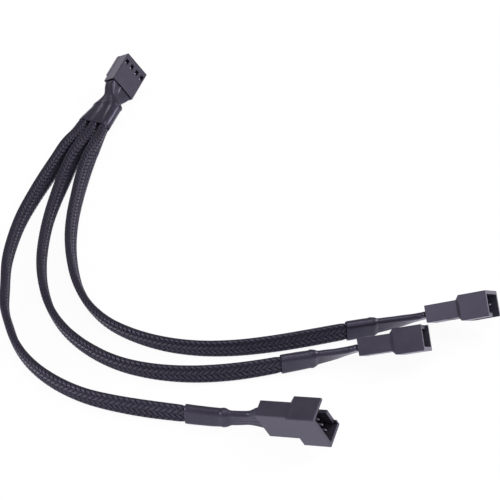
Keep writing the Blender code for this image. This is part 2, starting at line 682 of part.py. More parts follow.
def tube(name, sections, wall, finish):
    """A hollow sleeve through (station, half width, half height and corner radius of its inside, extra)."""
    bm = bmesh.new()
    inner_rings, outer_rings = [], []
    for station, half_wide, half_thin, radius, extra in sections:
        inner = rounded_ring(half_wide, half_thin, radius)
        grown = wall + extra
        outer = rounded_ring(half_wide + grown, half_thin + grown, radius + grown)
        inner_rings.append([bm.verts.new(station.point(*p)) for p in inner])
        outer_rings.append([bm.verts.new(station.point(*p)) for p in outer])
    count = len(inner_rings[0])
    for i in range(count):
        j = (i + 1) % count
        for k in range(len(inner_rings) - 1):
            bm.faces.new((inner_rings[k][i], inner_rings[k][j], inner_rings[k + 1][j], inner_rings[k + 1][i]))
            bm.faces.new((outer_rings[k][i], outer_rings[k + 1][i], outer_rings[k + 1][j], outer_rings[k][j]))
        for k in (0, -1):
            bm.faces.new((inner_rings[k][i], outer_rings[k][i], outer_rings[k][j], inner_rings[k][j]))
    piece = add_mesh_object(name, bm, finish)
    piece.data.shade_smooth()
    piece.data.set_sharp_from_angle(angle=radians(50))
    return piece


def braid(name, stations, braid_end, finish):
    """The braided sleeve over one branch's wires, fuller where no heat shrink presses on it."""
    sections = []
    for part, distance, station in stations:
        in_junction = part == "junction" and distance >= BRAID_INSET
        in_socket = part == "socket" and distance > braid_end
        if in_junction or in_socket or part == "open":
            across, through = station.room()
            bulge = BRAID_BULGE if part == "open" and distance > FLATTEN_START else 0.0
            sections.append((station, across, through, through, bulge))
    return tube(f"braid_{name}", sections, BRAID_WALL, finish)


def socket_shrink(name, branch, run, finish):
    """Heat shrink over the sleeve's end, necked down on the wires and flared at the housing."""
    housing_at = run.length - CRIMP_END
    braid_end = branch["braid_end"]
    cover = BRAID_WALL + SHRINK_CLEARANCE
    sections = []
    ridge = braid_end + SEAT_GAP
    for distance in socket_steps(branch):
        station = open_station(run, housing_at - distance, branch)
        over_braid = cover if distance >= ridge else 0.0
        extra = RIDGE_HEIGHT if 0 < distance - ridge < 1.5 * RIDGE_HALF_LENGTH else 0.0
        across, through = station.room()
        sections.append((station, across + over_braid, through + over_braid, through + over_braid, extra))
    return tube(f"heat_shrink_{name}", sections, SHRINK_WALL, finish)


def junction_shrink(junction, finish):
    """Heat shrink that gathers the three sleeves and is flared at the female housing."""
    cover = BRAID_WALL + SHRINK_CLEARANCE
    sections = []
    for distance in junction_steps():
        station = junction_station(junction, distance, 0)
        across, through = station.room()
        over_braid = cover * parting(distance)
        pitch = layer_pitch(distance)
        radius = through + over_braid
        sections.append((station, across + over_braid, radius + pitch, radius, 0.0))
    return tube("junction_heat_shrink", sections, SHRINK_WALL, finish)


def wire(name, contact, stations, finish):
    """One wire through all stations of its branch, as a round curve."""
    slot = PIN_COUNT - contact
    curve = bpy.data.curves.new(f"wire_{name}_{contact}", "CURVE")
    curve.dimensions = "3D"
    curve.bevel_depth = WIRE_RADIUS * MM
    curve.bevel_resolution = 2
    curve.use_fill_caps = True
    spline = curve.splines.new("POLY")
    spline.points.add(len(stations) - 1)
    for point, (_, _, station) in zip(spline.points, stations):
        point.co = (*(station.wire_point(slot) * MM), 1.0)
    curve.materials.append(finish)
    piece = bpy.data.objects.new(curve.name, curve)
    COLLECTION.objects.link(piece)
    return piece


def connector_empty(name, axes, place):
    """Empty that carries a connector's pieces and gives them its place and turn."""
    holder = bpy.data.objects.new(name, None)
    holder.matrix_world = Matrix.Translation(place * MM) @ axes.to_4x4()
    COLLECTION.objects.link(holder)
    return holder


def main():
    clear_scene()
    nylon = material("black_nylon", (0.032, 0.031, 0.036), 0.38)
    metal = material("tinned_brass", (0.72, 0.70, 0.66), 0.30, 1.0)
    shrink_plastic = material("heat_shrink_black", (0.020, 0.020, 0.024), 0.45)
    yarn = material("braid_black", (0.012, 0.012, 0.013), 0.55)
    insulation = material("wire_black", (0.015, 0.015, 0.016), 0.40)

    axes, place = connector_frame(FEMALE_LIE, outline_corners(FEMALE_SECTIONS), -1, -1, 1)
    plug = connector_empty("plug_frame", axes, place)
    female_housing(plug, nylon)
    for contact in range(1, PIN_COUNT + 1):
        female_contact(contact, plug, metal)
    junction = junction_run(place)
    junction_shrink(junction, shrink_plastic)

    for name, branch in BRANCHES.items():
        side = -1 if branch["flipped"] else 1
        axes, place = connector_frame(branch["lie"], outline_corners(MALE_SECTIONS), 1, side, side)
        socket = connector_empty(f"socket_frame_{name}", axes, place)
        male_housing(name, socket, nylon)
        run, stations = branch_stations(name, branch, junction, place)
        for contact in branch["contacts"]:
            male_pin(name, contact, socket, metal)
            wire(name, contact, stations, insulation)
        braid(name, stations, branch["braid_end"], yarn)
        socket_shrink(name, branch, run, shrink_plastic)


main()
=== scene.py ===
# %% [markdown]
# # A fan splitter cable
# One header on a computer's mainboard feeds three fans through this cable. A flat plug and three
# keyed sockets are moulded in black nylon, and the wires between them run in flat braided sleeves.
# The measured solids come first: every finish and every fine surface is laid over them.

# %% Load the measured solids
from math import cos, pi, radians, sin, sqrt

import bmesh
import bpy
import numpy as np
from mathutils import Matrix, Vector


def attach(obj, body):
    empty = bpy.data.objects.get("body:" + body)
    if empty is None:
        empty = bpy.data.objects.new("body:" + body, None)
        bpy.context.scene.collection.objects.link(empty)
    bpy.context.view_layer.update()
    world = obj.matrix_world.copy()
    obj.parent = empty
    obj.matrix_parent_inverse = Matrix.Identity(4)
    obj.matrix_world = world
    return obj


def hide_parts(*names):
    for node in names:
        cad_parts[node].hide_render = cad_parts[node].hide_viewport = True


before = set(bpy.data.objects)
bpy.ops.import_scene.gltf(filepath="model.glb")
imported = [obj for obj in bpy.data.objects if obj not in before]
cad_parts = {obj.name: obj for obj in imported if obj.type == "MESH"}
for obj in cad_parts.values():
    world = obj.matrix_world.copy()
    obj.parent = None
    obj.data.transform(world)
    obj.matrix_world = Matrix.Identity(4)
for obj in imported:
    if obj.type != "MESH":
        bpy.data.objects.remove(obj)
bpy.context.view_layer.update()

MM = 0.001

# %% [markdown]
# ## The camera
# The picture looks down at a table from about 38 degrees, through a long lens. A long lens keeps
# parallel edges nearly parallel, as they are in the photograph. The camera is aimed at a point on
# the table and is moved back along its line of sight.

# %% Place the camera
CAMERA_AIM = Vector((-0.00694, -0.00058, 0.0))
CAMERA_ELEVATION = radians(37.7)
CAMERA_DISTANCE = 0.5322
LENS_MM = 129.6

camera_data = bpy.data.cameras.new("camera")
camera_data.lens = LENS_MM
camera_data.sensor_width = 36.0
camera = bpy.data.objects.new("camera", camera_data)
line_of_sight = Vector((0.0, -cos(CAMERA_ELEVATION), sin(CAMERA_ELEVATION)))
camera.location = CAMERA_AIM + line_of_sight * CAMERA_DISTANCE
camera.rotation_euler = (pi / 2 - CAMERA_ELEVATION, 0.0, 0.0)
bpy.context.scene.collection.objects.link(camera)
bpy.context.scene.camera = camera
print("camera at", [round(c, 4) for c in camera.location])

# %% [markdown]
# ## The run of the cable
# Each branch is a flat ribbon that stands on its edge, so a line is not enough to describe it. It
# also needs the way its wide side faces. A run is a list of points on the table with a lean, in
# degrees from upright, and a smooth cubic curve goes through all of them. The curve is made once
# as arrays, and everything that follows reads it by distance.

# %% Measures shared by all branches
WIRE = 1.0 * MM
SLIP_FIT = 0.15 * MM
LAYER_GAP = 0.2 * MM
BUNDLE_GAP = 0.1 * MM
WIRE_PITCH = WIRE + SLIP_FIT
LAYER_PITCH = WIRE + LAYER_GAP
PAIR_RADIUS = WIRE_PITCH / 2
WIRE_ROOM = WIRE / 2 + SLIP_FIT
ROUND_ROOM = PAIR_RADIUS * sqrt(2) + WIRE_ROOM
ROUND_BULGE = 0.3 * MM
FAN_SLANT = 0.15 * MM
BRAID_WALL = 0.3 * MM
BRAID_BULGE = 0.2 * MM
SHRINK_WALL = 0.3 * MM
SHRINK_COVER = BRAID_WALL + SLIP_FIT
BUNDLE_PITCH = 2 * (ROUND_ROOM + BRAID_WALL) + BUNDLE_GAP
CONTACT_PITCH = 2.54 * MM
FAN_LENGTH = 5.0 * MM
JUNCTION_FAN = 6.0 * MM
SEAT_GAP = 0.3 * MM
CRIMP_END = 5.0 * MM
JUNCTION_LENGTH = 18.7 * MM
JUNCTION_MOUTH = JUNCTION_LENGTH - 0.4 * MM
BUNDLE_START = 4.6 * MM
BRAID_INSET = 8.9 * MM
FLATTEN_START = 2.0 * MM
FLATTEN_LENGTH = 22.0 * MM
TABLE_GAP = 0.1 * MM
COVERED_LIFT = SHRINK_WALL + SLIP_FIT
COVER_MARGIN = 4.25 * MM
NECK_LEAN_SHARE = 0.8

# The solids have the cable's middle at the origin, and the routes have it here
TABLE_CENTER = np.array([0.00694, 0.00058])
print("pitch of the sleeves in the junction, mm", round(BUNDLE_PITCH / MM, 2))

# %% Places of the plug, the sockets and the routes
PLUG = dict(x=-0.0433, y=0.0791, heading=-112.3, pitch=-13.4, lean=32.7)
BRANCHES = {
    "outer": dict(side=1, braid_end=0.0102, shrink=0.0215,
                  lie=dict(x=0.0040, y=-0.0782, heading=-26.2, pitch=17.9, lean=19.7)),
    "middle": dict(side=0, braid_end=0.0133, shrink=0.0229,
                   lie=dict(x=0.0304, y=-0.0496, heading=-5.9, pitch=16.3, lean=48.5)),
    "inner": dict(side=-1, braid_end=0.0163, shrink=0.0246,
                  lie=dict(x=0.0503, y=-0.0353, heading=-10.8, pitch=21.4, lean=50.0)),
}
MOUTH_PLACE = (-0.0507, 0.0620)
WIRES = {"outer": (1, 2, 3, 4), "middle": (1, 2, 4), "inner": (1, 2, 4)}

# Each row is x, y, lean in degrees and lift off the table
ROUTES = {
    "outer": [
        (-0.0558, 0.0583, 8, 0), (-0.0581, 0.0507, 20, 0), (-0.0602, 0.0425, 30, 0),
        (-0.0628, 0.0337, 32, 0), (-0.0659, 0.0225, 23, 0), (-0.0685, 0.0114, 17, 0),
        (-0.0700, 0.0005, 14, 0), (-0.0706, -0.0104, 11, 0), (-0.0699, -0.0210, 8, 0),
        (-0.0690, -0.0308, 10, 0), (-0.0670, -0.0380, 13, 0), (-0.0640, -0.0465, 15, 0),
        (-0.0595, -0.0541, 14, 0), (-0.0530, -0.0610, 11, 0), (-0.0445, -0.0667, 8, 0),
        (-0.0343, -0.0704, 0, 0), (-0.0263, -0.0723, -4, 0), (-0.0184, -0.0740, 0, 0),
        (-0.0123, -0.0753, 5, 0.0002), (-0.0062, -0.0764, 10, 0.0006),
    ],
    "middle": [
        (-0.0519, 0.0573, 7, 0), (-0.0538, 0.0507, 18, 0), (-0.0557, 0.0425, 31, 0),
        (-0.0573, 0.0337, 33, 0), (-0.0590, 0.0225, 21, 0), (-0.0603, 0.0114, 14, 0),
        (-0.0608, 0.0005, 14, 0), (-0.0605, -0.0104, 15, 0), (-0.0589, -0.0211, 14, 0),
        (-0.0559, -0.0312, 17, 0), (-0.0507, -0.0408, 17, 0), (-0.0438, -0.0484, 14, 0),
        (-0.0353, -0.0542, 12, 0), (-0.0270, -0.0571, 6, 0), (-0.0170, -0.0584, -2, 0),
        (-0.0067, -0.0578, -6, 0), (0.0030, -0.0559, -2, 0), (0.0085, -0.0548, 3, 0.0001),
        (0.0173, -0.0528, 13, 0.0005), (0.0240, -0.0513, 31, 0.0012),
    ],
    "inner": [
        (-0.0480, 0.0573, 7, 0), (-0.0493, 0.0507, 18, 0), (-0.0507, 0.0425, 31, 0),
        (-0.0518, 0.0340, 33, 0), (-0.0527, 0.0225, 26, 0), (-0.0532, 0.0115, 25, 0),
        (-0.0529, 0.0005, 25, 0), (-0.0515, -0.0104, 22, 0), (-0.0489, -0.0211, 20, 0),
        (-0.0451, -0.0295, 24, 0), (-0.0393, -0.0370, 23, 0), (-0.0318, -0.0424, 18, 0),
        (-0.0234, -0.0460, 12, 0), (-0.0140, -0.0478, 7, 0), (-0.0045, -0.0477, 2, 0),
        (0.0055, -0.0461, -3, 0), (0.0160, -0.0435, -6, 0), (0.0264, -0.0409, -3, 0),
        (0.0342, -0.0392, 7, 0.0003), (0.0425, -0.0373, 28, 0.0010),
    ],
}
print("points in each route", {name: len(rows) for name, rows in ROUTES.items()})

# %% [markdown]
# ## A smooth curve through the points
# Twenty listed points are easy to read and to change, but a cable bends without corners. A curve
# object could smooth them, but the lean has to run along with the place. The curve is therefore
# worked out here in four columns, x, y, z and lean, with a fixed number of steps between two points.

# %% A smooth curve through the points of a route
STEPS_BETWEEN = 24
LOOK_ALONG = 0.25 * MM


def smooth_step(value):
    """3t^2 - 2t^3, held at 0 below 0 and at 1 above 1."""
    value = np.clip(value, 0.0, 1.0)
    return value * value * (3 - 2 * value)


def smooth_run(rows):
    """Cubic curve through rows of x, y, z and lean, as its length from the start and its points.

    Between two rows the curve is a Hermite blend. A row's tangent is the mean of the slopes on
    both sides of it, each weighted by the other side's length, so uneven steps make no loops.
    """
    rows = np.array(rows, float)
    gaps = np.linalg.norm(np.diff(rows[:, :3], axis=0), axis=1)[:, None]
    slopes = np.diff(rows, axis=0) / gaps
    inner = (slopes[:-1] * gaps[1:] + slopes[1:] * gaps[:-1]) / (gaps[:-1] + gaps[1:])
    tangents = np.vstack([slopes[:1], inner, slopes[-1:]])
    t = np.linspace(0, 1, STEPS_BETWEEN + 1)[None, 1:, None]
    arrived = smooth_step(t)
    leaving = tangents[:-1, None] * gaps[:, None] * t * (1 - t) ** 2
    arriving = tangents[1:, None] * gaps[:, None] * t * t * (1 - t)
    between = rows[:-1, None] * (1 - arrived) + rows[1:, None] * arrived + leaving - arriving
    points = np.vstack([rows[:1], between.reshape(-1, 4)])
    steps = np.linalg.norm(np.diff(points[:, :3], axis=0), axis=1)
    return np.concatenate([[0.0], np.cumsum(steps)]), points


def read_run(run, distance):
    """Centres, directions and leans of a run at an array of distances.

    A direction is the step from a point just before the distance to one just after it.
    """
    length, points = run

    def read(at, column):
        return np.interp(at, length, points[:, column])

    center = np.stack([read(distance, i) for i in range(3)], axis=1)
    ahead, behind = distance + LOOK_ALONG, distance - LOOK_ALONG
    direction = np.stack([read(ahead, i) - read(behind, i) for i in range(3)], axis=1)
    direction /= np.linalg.norm(direction, axis=1, keepdims=True)
    return center, direction, read(distance, 3)


def cable_axes(direction, lean):
    """Wide and thin axis of a ribbon: upright when lean is 0, and turned outward by lean."""
    outward = np.cross(direction, [0.0, 0.0, 1.0])
    outward /= np.linalg.norm(outward, axis=1, keepdims=True)
    upward = np.cross(outward, direction)
    angle = np.radians(lean)[:, None]
    wide = upward * np.cos(angle) + outward * np.sin(angle)
    return wide, np.cross(direction, wide)


def heading_vector(lie):
    """Unit vector of a lie: its heading on the table and its pitch above it, both in degrees."""
    heading, pitch = radians(lie["heading"]), radians(lie["pitch"])
    return np.array([cos(pitch) * cos(heading), cos(pitch) * sin(heading), sin(pitch)])


# %% [markdown]
# ## The section of the cable
# Four wires in a row make a flat section, and two by two they make a round one. A number from 0 to
# 1, the roundness, blends between the two, and a spread above 1 fans the row out to the pitch of
# the contacts. The room that the wires need gives the size of each sleeve around them.

# %% How much room the wires take
def wire_room(spread, roundness):
    """Half width and half height that hold the wires, for arrays of spread and roundness."""
    flatness = np.sqrt(np.clip(1 - roundness ** 2, 0, 1))
    flat_across = 3 * PAIR_RADIUS * spread + WIRE_ROOM
    across = ROUND_ROOM + (flat_across - ROUND_ROOM) * flatness
    bulge = ROUND_BULGE * flatness * roundness
    through = WIRE_ROOM + (ROUND_ROOM - WIRE_ROOM) * roundness + bulge
    slant = FAN_SLANT * (spread - 1)
    return across + slant, through + slant


def fan_spread(to_housing, fan_length=FAN_LENGTH):
    """Spread of the row of wires: the pitch of the contacts at a housing, 1 past the fan."""
    full = CONTACT_PITCH / WIRE_PITCH
    return 1 + (full - 1) * smooth_step((fan_length - to_housing) / (fan_length + SEAT_GAP))


def open_roundness(distance):
    """1 at the junction's mouth, where the wires lie two by two, and 0 once they lie in a row."""
    flattened = smooth_step((distance - FLATTEN_START) / FLATTEN_LENGTH)
    return np.clip(np.cos(pi / 2 * flattened), 0, 1)


def rest_height(distance, lean, covered):
    """Height of a section's middle when its lower edge touches the table."""
    across, through = wire_room(1.0, open_roundness(distance))
    wall = BRAID_WALL + TABLE_GAP + (COVERED_LIFT if covered else BRAID_BULGE)
    return (across - through) * cos(radians(lean)) + through + wall


# %% [markdown]
# ## Where the connectors are
# The connectors are solids that the frame already holds, so their places are measured and not
# repeated. A housing's wire side is the flat end that lies furthest back along its own direction.
# Each run of cable starts or ends in the middle of that side, so the two always meet.

# %% Measure where the connectors really are
REAR_DEPTH = 0.02 * MM
METRE_DECIMALS = 6


def middle_of_rear(node, lie):
    """Centre of a housing's wire side: the middle of the corners that lie furthest back."""
    vertices = np.array([v.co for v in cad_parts[node].data.vertices])
    back = heading_vector(lie)
    depth = vertices @ back
    rear = np.unique(vertices[depth < depth.min() + REAR_DEPTH].round(METRE_DECIMALS), axis=0)
    return (rear.max(axis=0) + rear.min(axis=0)) / 2


plug_back = dict(PLUG, heading=PLUG["heading"] + 180, pitch=-PLUG["pitch"])
plug_place = middle_of_rear("female_housing", plug_back)
socket_places = {
    name: middle_of_rear(f"male_housing_{name}", branch["lie"]) for name, branch in BRANCHES.items()
}
print("plug at", plug_place.round(4), "sockets at", {k: v.round(4) for k, v in socket_places.items()})

# %% Lay the run of the junction and of each branch
plug_direction = heading_vector(PLUG)
mouth_height = ROUND_ROOM + BRAID_WALL + SLIP_FIT + SHRINK_WALL + TABLE_GAP
junction_run = smooth_run([
    (*(plug_place - plug_direction * CRIMP_END), PLUG["lean"]),
    (*plug_place, PLUG["lean"]),
    (*(plug_place + plug_direction * FAN_LENGTH), PLUG["lean"] * NECK_LEAN_SHARE),
    (MOUTH_PLACE[0] - TABLE_CENTER[0], MOUTH_PLACE[1] - TABLE_CENTER[1], mouth_height, 0.0),
])


def parting(distance):
    """0 where the three branches lie stacked in the junction, 1 where each is in its sleeve."""
    return np.clip((distance - BUNDLE_START) / (BRAID_INSET - BUNDLE_START), 0, 1)


def junction_sections(distance, side):
    """Centre, wide axis, thin axis, half width and half height of a branch inside the junction."""
    center, direction, lean = read_run(junction_run, distance + CRIMP_END)
    wide, thin = cable_axes(direction, lean)
    pitch = LAYER_PITCH + (BUNDLE_PITCH - LAYER_PITCH) * parting(distance)
    across, through = wire_room(fan_spread(distance, JUNCTION_FAN), np.sin(pi / 2 * parting(distance)))
    return center + thin * (side * pitch)[:, None], wide, thin, across, through


def branch_run(name):
    """Run of a branch from the junction's mouth over its route and into its socket."""
    branch = BRANCHES[name]
    mouth = junction_sections(np.array([JUNCTION_LENGTH]), np.array([branch["side"]]))[0][0]
    rows = [(*mouth, 0.0)]
    place = socket_places[name]
    travelled = 0.0
    for x, y, lean, lift in ROUTES[name]:
        x, y = np.array([x, y]) - TABLE_CENTER
        travelled += sqrt((x - rows[-1][0]) ** 2 + (y - rows[-1][1]) ** 2)
        to_housing = sqrt((x - place[0]) ** 2 + (y - place[1]) ** 2)
        covered = to_housing < branch["shrink"] + COVER_MARGIN
        rows.append((x, y, rest_height(travelled, lean, covered) + lift, lean))
    lean = branch["lie"]["lean"]
    direction = heading_vector(branch["lie"])
    rows += [(*place, lean), (*(place + direction * CRIMP_END), lean)]
    return smooth_run(rows)


branch_runs = {name: branch_run(name) for name in BRANCHES}
housing_at = {name: run[0][-1] - CRIMP_END for name, run in branch_runs.items()}
print("open runs in mm", {name: round(length / MM, 1) for name, length in housing_at.items()})


def open_sections(name, distance):
    """The same five arrays for a branch between the junction's mouth and its socket."""
    center, direction, lean = read_run(branch_runs[name], distance)
    squared = smooth_step((distance - housing_at[name] + FAN_LENGTH) / FAN_LENGTH)[:, None]
    direction = direction * (1 - squared) + heading_vector(BRANCHES[name]["lie"]) * squared
    direction /= np.linalg.norm(direction, axis=1, keepdims=True)
    wide, thin = cable_axes(direction, lean)
    across, through = wire_room(fan_spread(housing_at[name] - distance), open_roundness(distance))
    return center, wide, thin, across, through


# %% [markdown]
# ## Sections along a sleeve
# A sleeve is described at short steps by its centre, its two axes and its two half sizes. The part
# inside the junction and the open part come from different functions, and a real sleeve has no kink
# where they meet. The joined row is therefore eased with a moving average. After that it can be read
# at any distance, so a coarse row serves for ribbons in fine steps.

# %% Smooth a row of sections
SECTION_STEP = 0.5 * MM
MOUTH_SKIP = 0.1 * MM
SLEEVE_EASING = 9
SHRINK_EASING = 5


def eased(sections, window):
    """Moving average of the sections over a number of steps, with the axes made square again."""
    kernel = np.ones(window) / window
    spare = window // 2

    def average(values):
        padded = np.concatenate([[values[0]] * spare, values, [values[-1]] * spare])
        return np.convolve(padded, kernel, "valid")

    center, wide, thin, across, through = sections
    center, wide, thin = (
        np.stack([average(part[:, i]) for i in range(3)], axis=1) for part in (center, wide, thin)
    )
    wide /= np.linalg.norm(wide, axis=1, keepdims=True)
    thin -= wide * np.sum(wide * thin, axis=1, keepdims=True)
    thin /= np.linalg.norm(thin, axis=1, keepdims=True)
    return center, wide, thin, average(across), average(through)


def sleeve_sections(name):
    """Sections of a whole braided sleeve, from its end inside the junction on."""
    branch = BRANCHES[name]
    inside = np.arange(BRAID_INSET, JUNCTION_LENGTH, SECTION_STEP)
    side = np.full(len(inside), branch["side"])
    along = np.arange(MOUTH_SKIP, housing_at[name] - branch["braid_end"] - SEAT_GAP, SECTION_STEP)
    first, second = junction_sections(inside, side), open_sections(name, along)
    return eased([np.concatenate(pair) for pair in zip(first, second)], SLEEVE_EASING)


def along_sections(sections):
    """Distance of each section from the first."""
    steps = np.linalg.norm(np.diff(sections[0], axis=0), axis=1)
    return np.concatenate([[0.0], np.cumsum(steps)])


def resampled(sections, distance):
    """Sections read at other distances."""
    along = along_sections(sections)

    def read(values):
        if values.ndim == 1:
            return np.interp(distance, along, values)
        return np.stack([np.interp(distance, along, values[:, i]) for i in range(3)], axis=1)

    return [read(values) for values in sections]


# %% [markdown]
# ## Surfaces from arrays
# A grid of points with a fixed number of rows and columns makes a tube when its columns close on
# themselves. The faces of such a grid follow from its shape alone, so one helper serves for every
# sleeve, strand and shrink tube. The outline of a section is a rounded rectangle, measured off
# along its edge, so that a pattern on it is never stretched at the corners.

# %% Outline of a section
def rounded_outline(turn, half_wide, half_thin, radius):
    """Point and outward normal of a rounded rectangle, at a share of its edge from 0 to 1.

    The edge starts at the middle of the side at +wide and runs towards +thin. Its eight parts are
    straight sides and quarter circles, each as long as it really is.
    """
    turn, half_wide, half_thin, radius = np.broadcast_arrays(turn, half_wide, half_thin, radius)
    side, top, arc = half_thin - radius, half_wide - radius, pi / 2 * radius
    length = 4 * (side + top + arc)
    quarter_length = side + arc + top
    travelled = (turn % 1.0) * length
    quarter = np.minimum(travelled // quarter_length, 3)
    rest = travelled - quarter * quarter_length
    even = quarter % 2 == 0
    rest = np.where(even, rest, quarter_length - rest)
    on_side = rest < side
    on_arc = ~on_side & (rest < side + arc)
    angle = np.where(on_side, 0.0, np.where(on_arc, (rest - side) / np.maximum(radius, 1e-9), pi / 2))
    x = top + radius * np.cos(angle)
    y = np.where(on_side, rest, side + radius * np.sin(angle))
    x = np.where(~on_side & ~on_arc, top - (rest - side - arc), x)
    y = np.where(~on_side & ~on_arc, side + radius, y)
    flip_x = np.where((quarter == 1) | (quarter == 2), -1, 1)
    flip_y = np.where(quarter >= 2, -1, 1)
    return x * flip_x, y * flip_y, np.cos(angle) * flip_x, np.sin(angle) * flip_y


# %% Faces of a grid
def grid_faces(rows, columns, first=0):
    """Quads of a grid whose columns close on themselves, as vertex numbers from first on."""
    row, column = np.meshgrid(np.arange(rows - 1), np.arange(columns), indexing="ij")
    following = (column + 1) % columns
    quads = [row * columns + column, (row + 1) * columns + column, (row + 1) * columns + following,
             row * columns + following]
    return first + np.stack(quads, axis=-1).reshape(-1, 4)


# %% A mesh piece from arrays
def turn_faces_out(mesh):
    bm = bmesh.new()
    bm.from_mesh(mesh)
    bmesh.ops.recalc_face_normals(bm, faces=bm.faces)
    bm.to_mesh(mesh)
    bm.free()


def mesh_from_arrays(name, vertices, faces, caps=(), uv=None, crown_highlight=None):
    """Smooth-shaded mesh piece that rides on the cable's one body, with a painted highlight share at each
    vertex.
    """
    mesh = bpy.data.meshes.new(name)
    mesh.from_pydata(vertices.tolist(), [], faces.tolist() + [list(cap) for cap in caps])
    if uv is not None:
        layer = mesh.uv_layers.new(name="along")
        corners = np.zeros(len(mesh.loops), int)
        mesh.loops.foreach_get("vertex_index", corners)
        layer.data.foreach_set("uv", uv[corners].astype(np.float32).ravel())
    if crown_highlight is not None:
        # A value at each vertex that steers the painted highlight and painted shade in the braid's colour
        mesh.attributes.new("crown_highlight", "FLOAT", "POINT").data.foreach_set("value", crown_highlight.astype(np.float32))
    mesh.shade_smooth()
    piece = bpy.data.objects.new(name, mesh)
    bpy.context.scene.collection.objects.link(piece)
    turn_faces_out(mesh)
    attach(piece, "root")
    return piece


# %% [markdown]
# ## Shared finishes
# Moulded nylon, shrink tube, filaments and tin plating all carry the same fine unevenness, at
# different scales. One node group makes it once: two noises added up give a height for bump, and
# the broad one alone gives a mask for colour and gloss.

# %% Node group for fine grain
BROAD_SHARE = 0.6


def add_node(tree, kind, **values):
    """New node with each value set on the node itself, or else on the input of that name."""
    node = tree.nodes.new(kind)
    for key, value in values.items():
        if hasattr(node, key):
            setattr(node, key, value)
        else:
            node.inputs[key.replace("_", " ")].default_value = value
    return node


def fine_grain_group():
    group = bpy.data.node_groups.new("fine_grain", "ShaderNodeTree")
    group.interface.new_socket("Vector", in_out="INPUT", socket_type="NodeSocketVector")
    group.interface.new_socket("Fine Scale", in_out="INPUT", socket_type="NodeSocketFloat")
    group.interface.new_socket("Broad Scale", in_out="INPUT", socket_type="NodeSocketFloat")
    group.interface.new_socket("Height", in_out="OUTPUT", socket_type="NodeSocketFloat")
    group.interface.new_socket("Mask", in_out="OUTPUT", socket_type="NodeSocketFloat")
    entry = group.nodes.new("NodeGroupInput")
    leave = group.nodes.new("NodeGroupOutput")
    fine = add_node(group, "ShaderNodeTexNoise", Detail=3.0, Roughness=0.6)
    broad = add_node(group, "ShaderNodeTexNoise", Detail=2.0, Roughness=0.5)
    group.links.new(entry.outputs["Vector"], fine.inputs["Vector"])
    group.links.new(entry.outputs["Vector"], broad.inputs["Vector"])
    group.links.new(entry.outputs["Fine Scale"], fine.inputs["Scale"])
    group.links.new(entry.outputs["Broad Scale"], broad.inputs["Scale"])
    total = add_node(group, "ShaderNodeMath", operation="MULTIPLY_ADD")
    group.links.new(broad.outputs["Fac"], total.inputs[0])
    total.inputs[1].default_value = BROAD_SHARE
    group.links.new(fine.outputs["Fac"], total.inputs[2])
    group.links.new(total.outputs["Value"], leave.inputs["Height"])
    group.links.new(broad.outputs["Fac"], leave.inputs["Mask"])
    return group


fine_grain = fine_grain_group()
print("grain group", fine_grain.name, "nodes", len(fine_grain.nodes))

# %% [markdown]
# ## One way to dress a shader
# Each finish on the cable is a Principled shader whose colour and roughness swing between two values
# by a mask, with some relief from a height. Short helpers do that, and each material only states
# its own values. Black plastic under a pale sky looks slightly violet in its sheen, so the shine has
# a tint and the body colour stays nearly neutral.

# %% Helpers for finishes
GLOSS_TINT = (0.80, 0.76, 1.0, 1.0)


def new_finish(name):
    """Material with its node tree and its Principled shader."""
    finish = bpy.data.materials.new(name)
    finish.use_nodes = True
    return finish, finish.node_tree, finish.node_tree.nodes["Principled BSDF"]


def place_grain(tree, fine_scale, broad_scale):
    """The shared grain, laid on the object's own coordinates."""
    place = tree.nodes.new("ShaderNodeTexCoord")
    grain = add_node(tree, "ShaderNodeGroup", node_tree=fine_grain)
    grain.inputs["Fine Scale"].default_value = fine_scale
    grain.inputs["Broad Scale"].default_value = broad_scale
    tree.links.new(place.outputs["Object"], grain.inputs["Vector"])
    return grain


def color_and_gloss(tree, shader, mask, dark, light, roughness):
    """Colour from dark to light and roughness from its first value to its second, both by a mask."""
    color = add_node(tree, "ShaderNodeMix", data_type="RGBA")
    color.inputs["A"].default_value = (*dark, 1.0)
    color.inputs["B"].default_value = (*light, 1.0)
    tree.links.new(mask, color.inputs["Factor"])
    tree.links.new(color.outputs["Result"], shader.inputs["Base Color"])
    gloss = tree.nodes.new("ShaderNodeMapRange")
    gloss.inputs["To Min"].default_value, gloss.inputs["To Max"].default_value = roughness
    tree.links.new(mask, gloss.inputs["Value"])
    tree.links.new(gloss.outputs["Result"], shader.inputs["Roughness"])


def add_relief(tree, shader, height, distance, strength=1.0):
    relief = tree.nodes.new("ShaderNodeBump")
    relief.inputs["Strength"].default_value = strength
    relief.inputs["Distance"].default_value = distance
    tree.links.new(height, relief.inputs["Height"])
    tree.links.new(relief.outputs["Normal"], shader.inputs["Normal"])


def plastic(name, dark, light, roughness, fine_scale, broad_scale, bump, specular=0.5):
    """Plastic whose colour, gloss and relief all follow the shared grain."""
    finish, tree, shader = new_finish(name)
    shader.inputs["Specular Tint"].default_value = GLOSS_TINT
    shader.inputs["Specular IOR Level"].default_value = specular
    grain = place_grain(tree, fine_scale, broad_scale)
    color_and_gloss(tree, shader, grain.outputs["Mask"], dark, light, roughness)
    add_relief(tree, shader, grain.outputs["Height"], bump)
    return finish


# %% [markdown]
# ## The braided sleeves
# The sleeve is braided on a machine with sixteen carriers. Each lays a flat ribbon of four stiff
# filaments side by side in a long helix, half of them turning one way and half the other, and each
# ribbon goes over two others and under the next two. That makes lengthwise rows of slanted floats,
# like ears of corn. A bump texture would lose them at the silhouette, so every ribbon is real
# geometry here. Whether a ribbon is over or under depends only on its place round the sleeve.

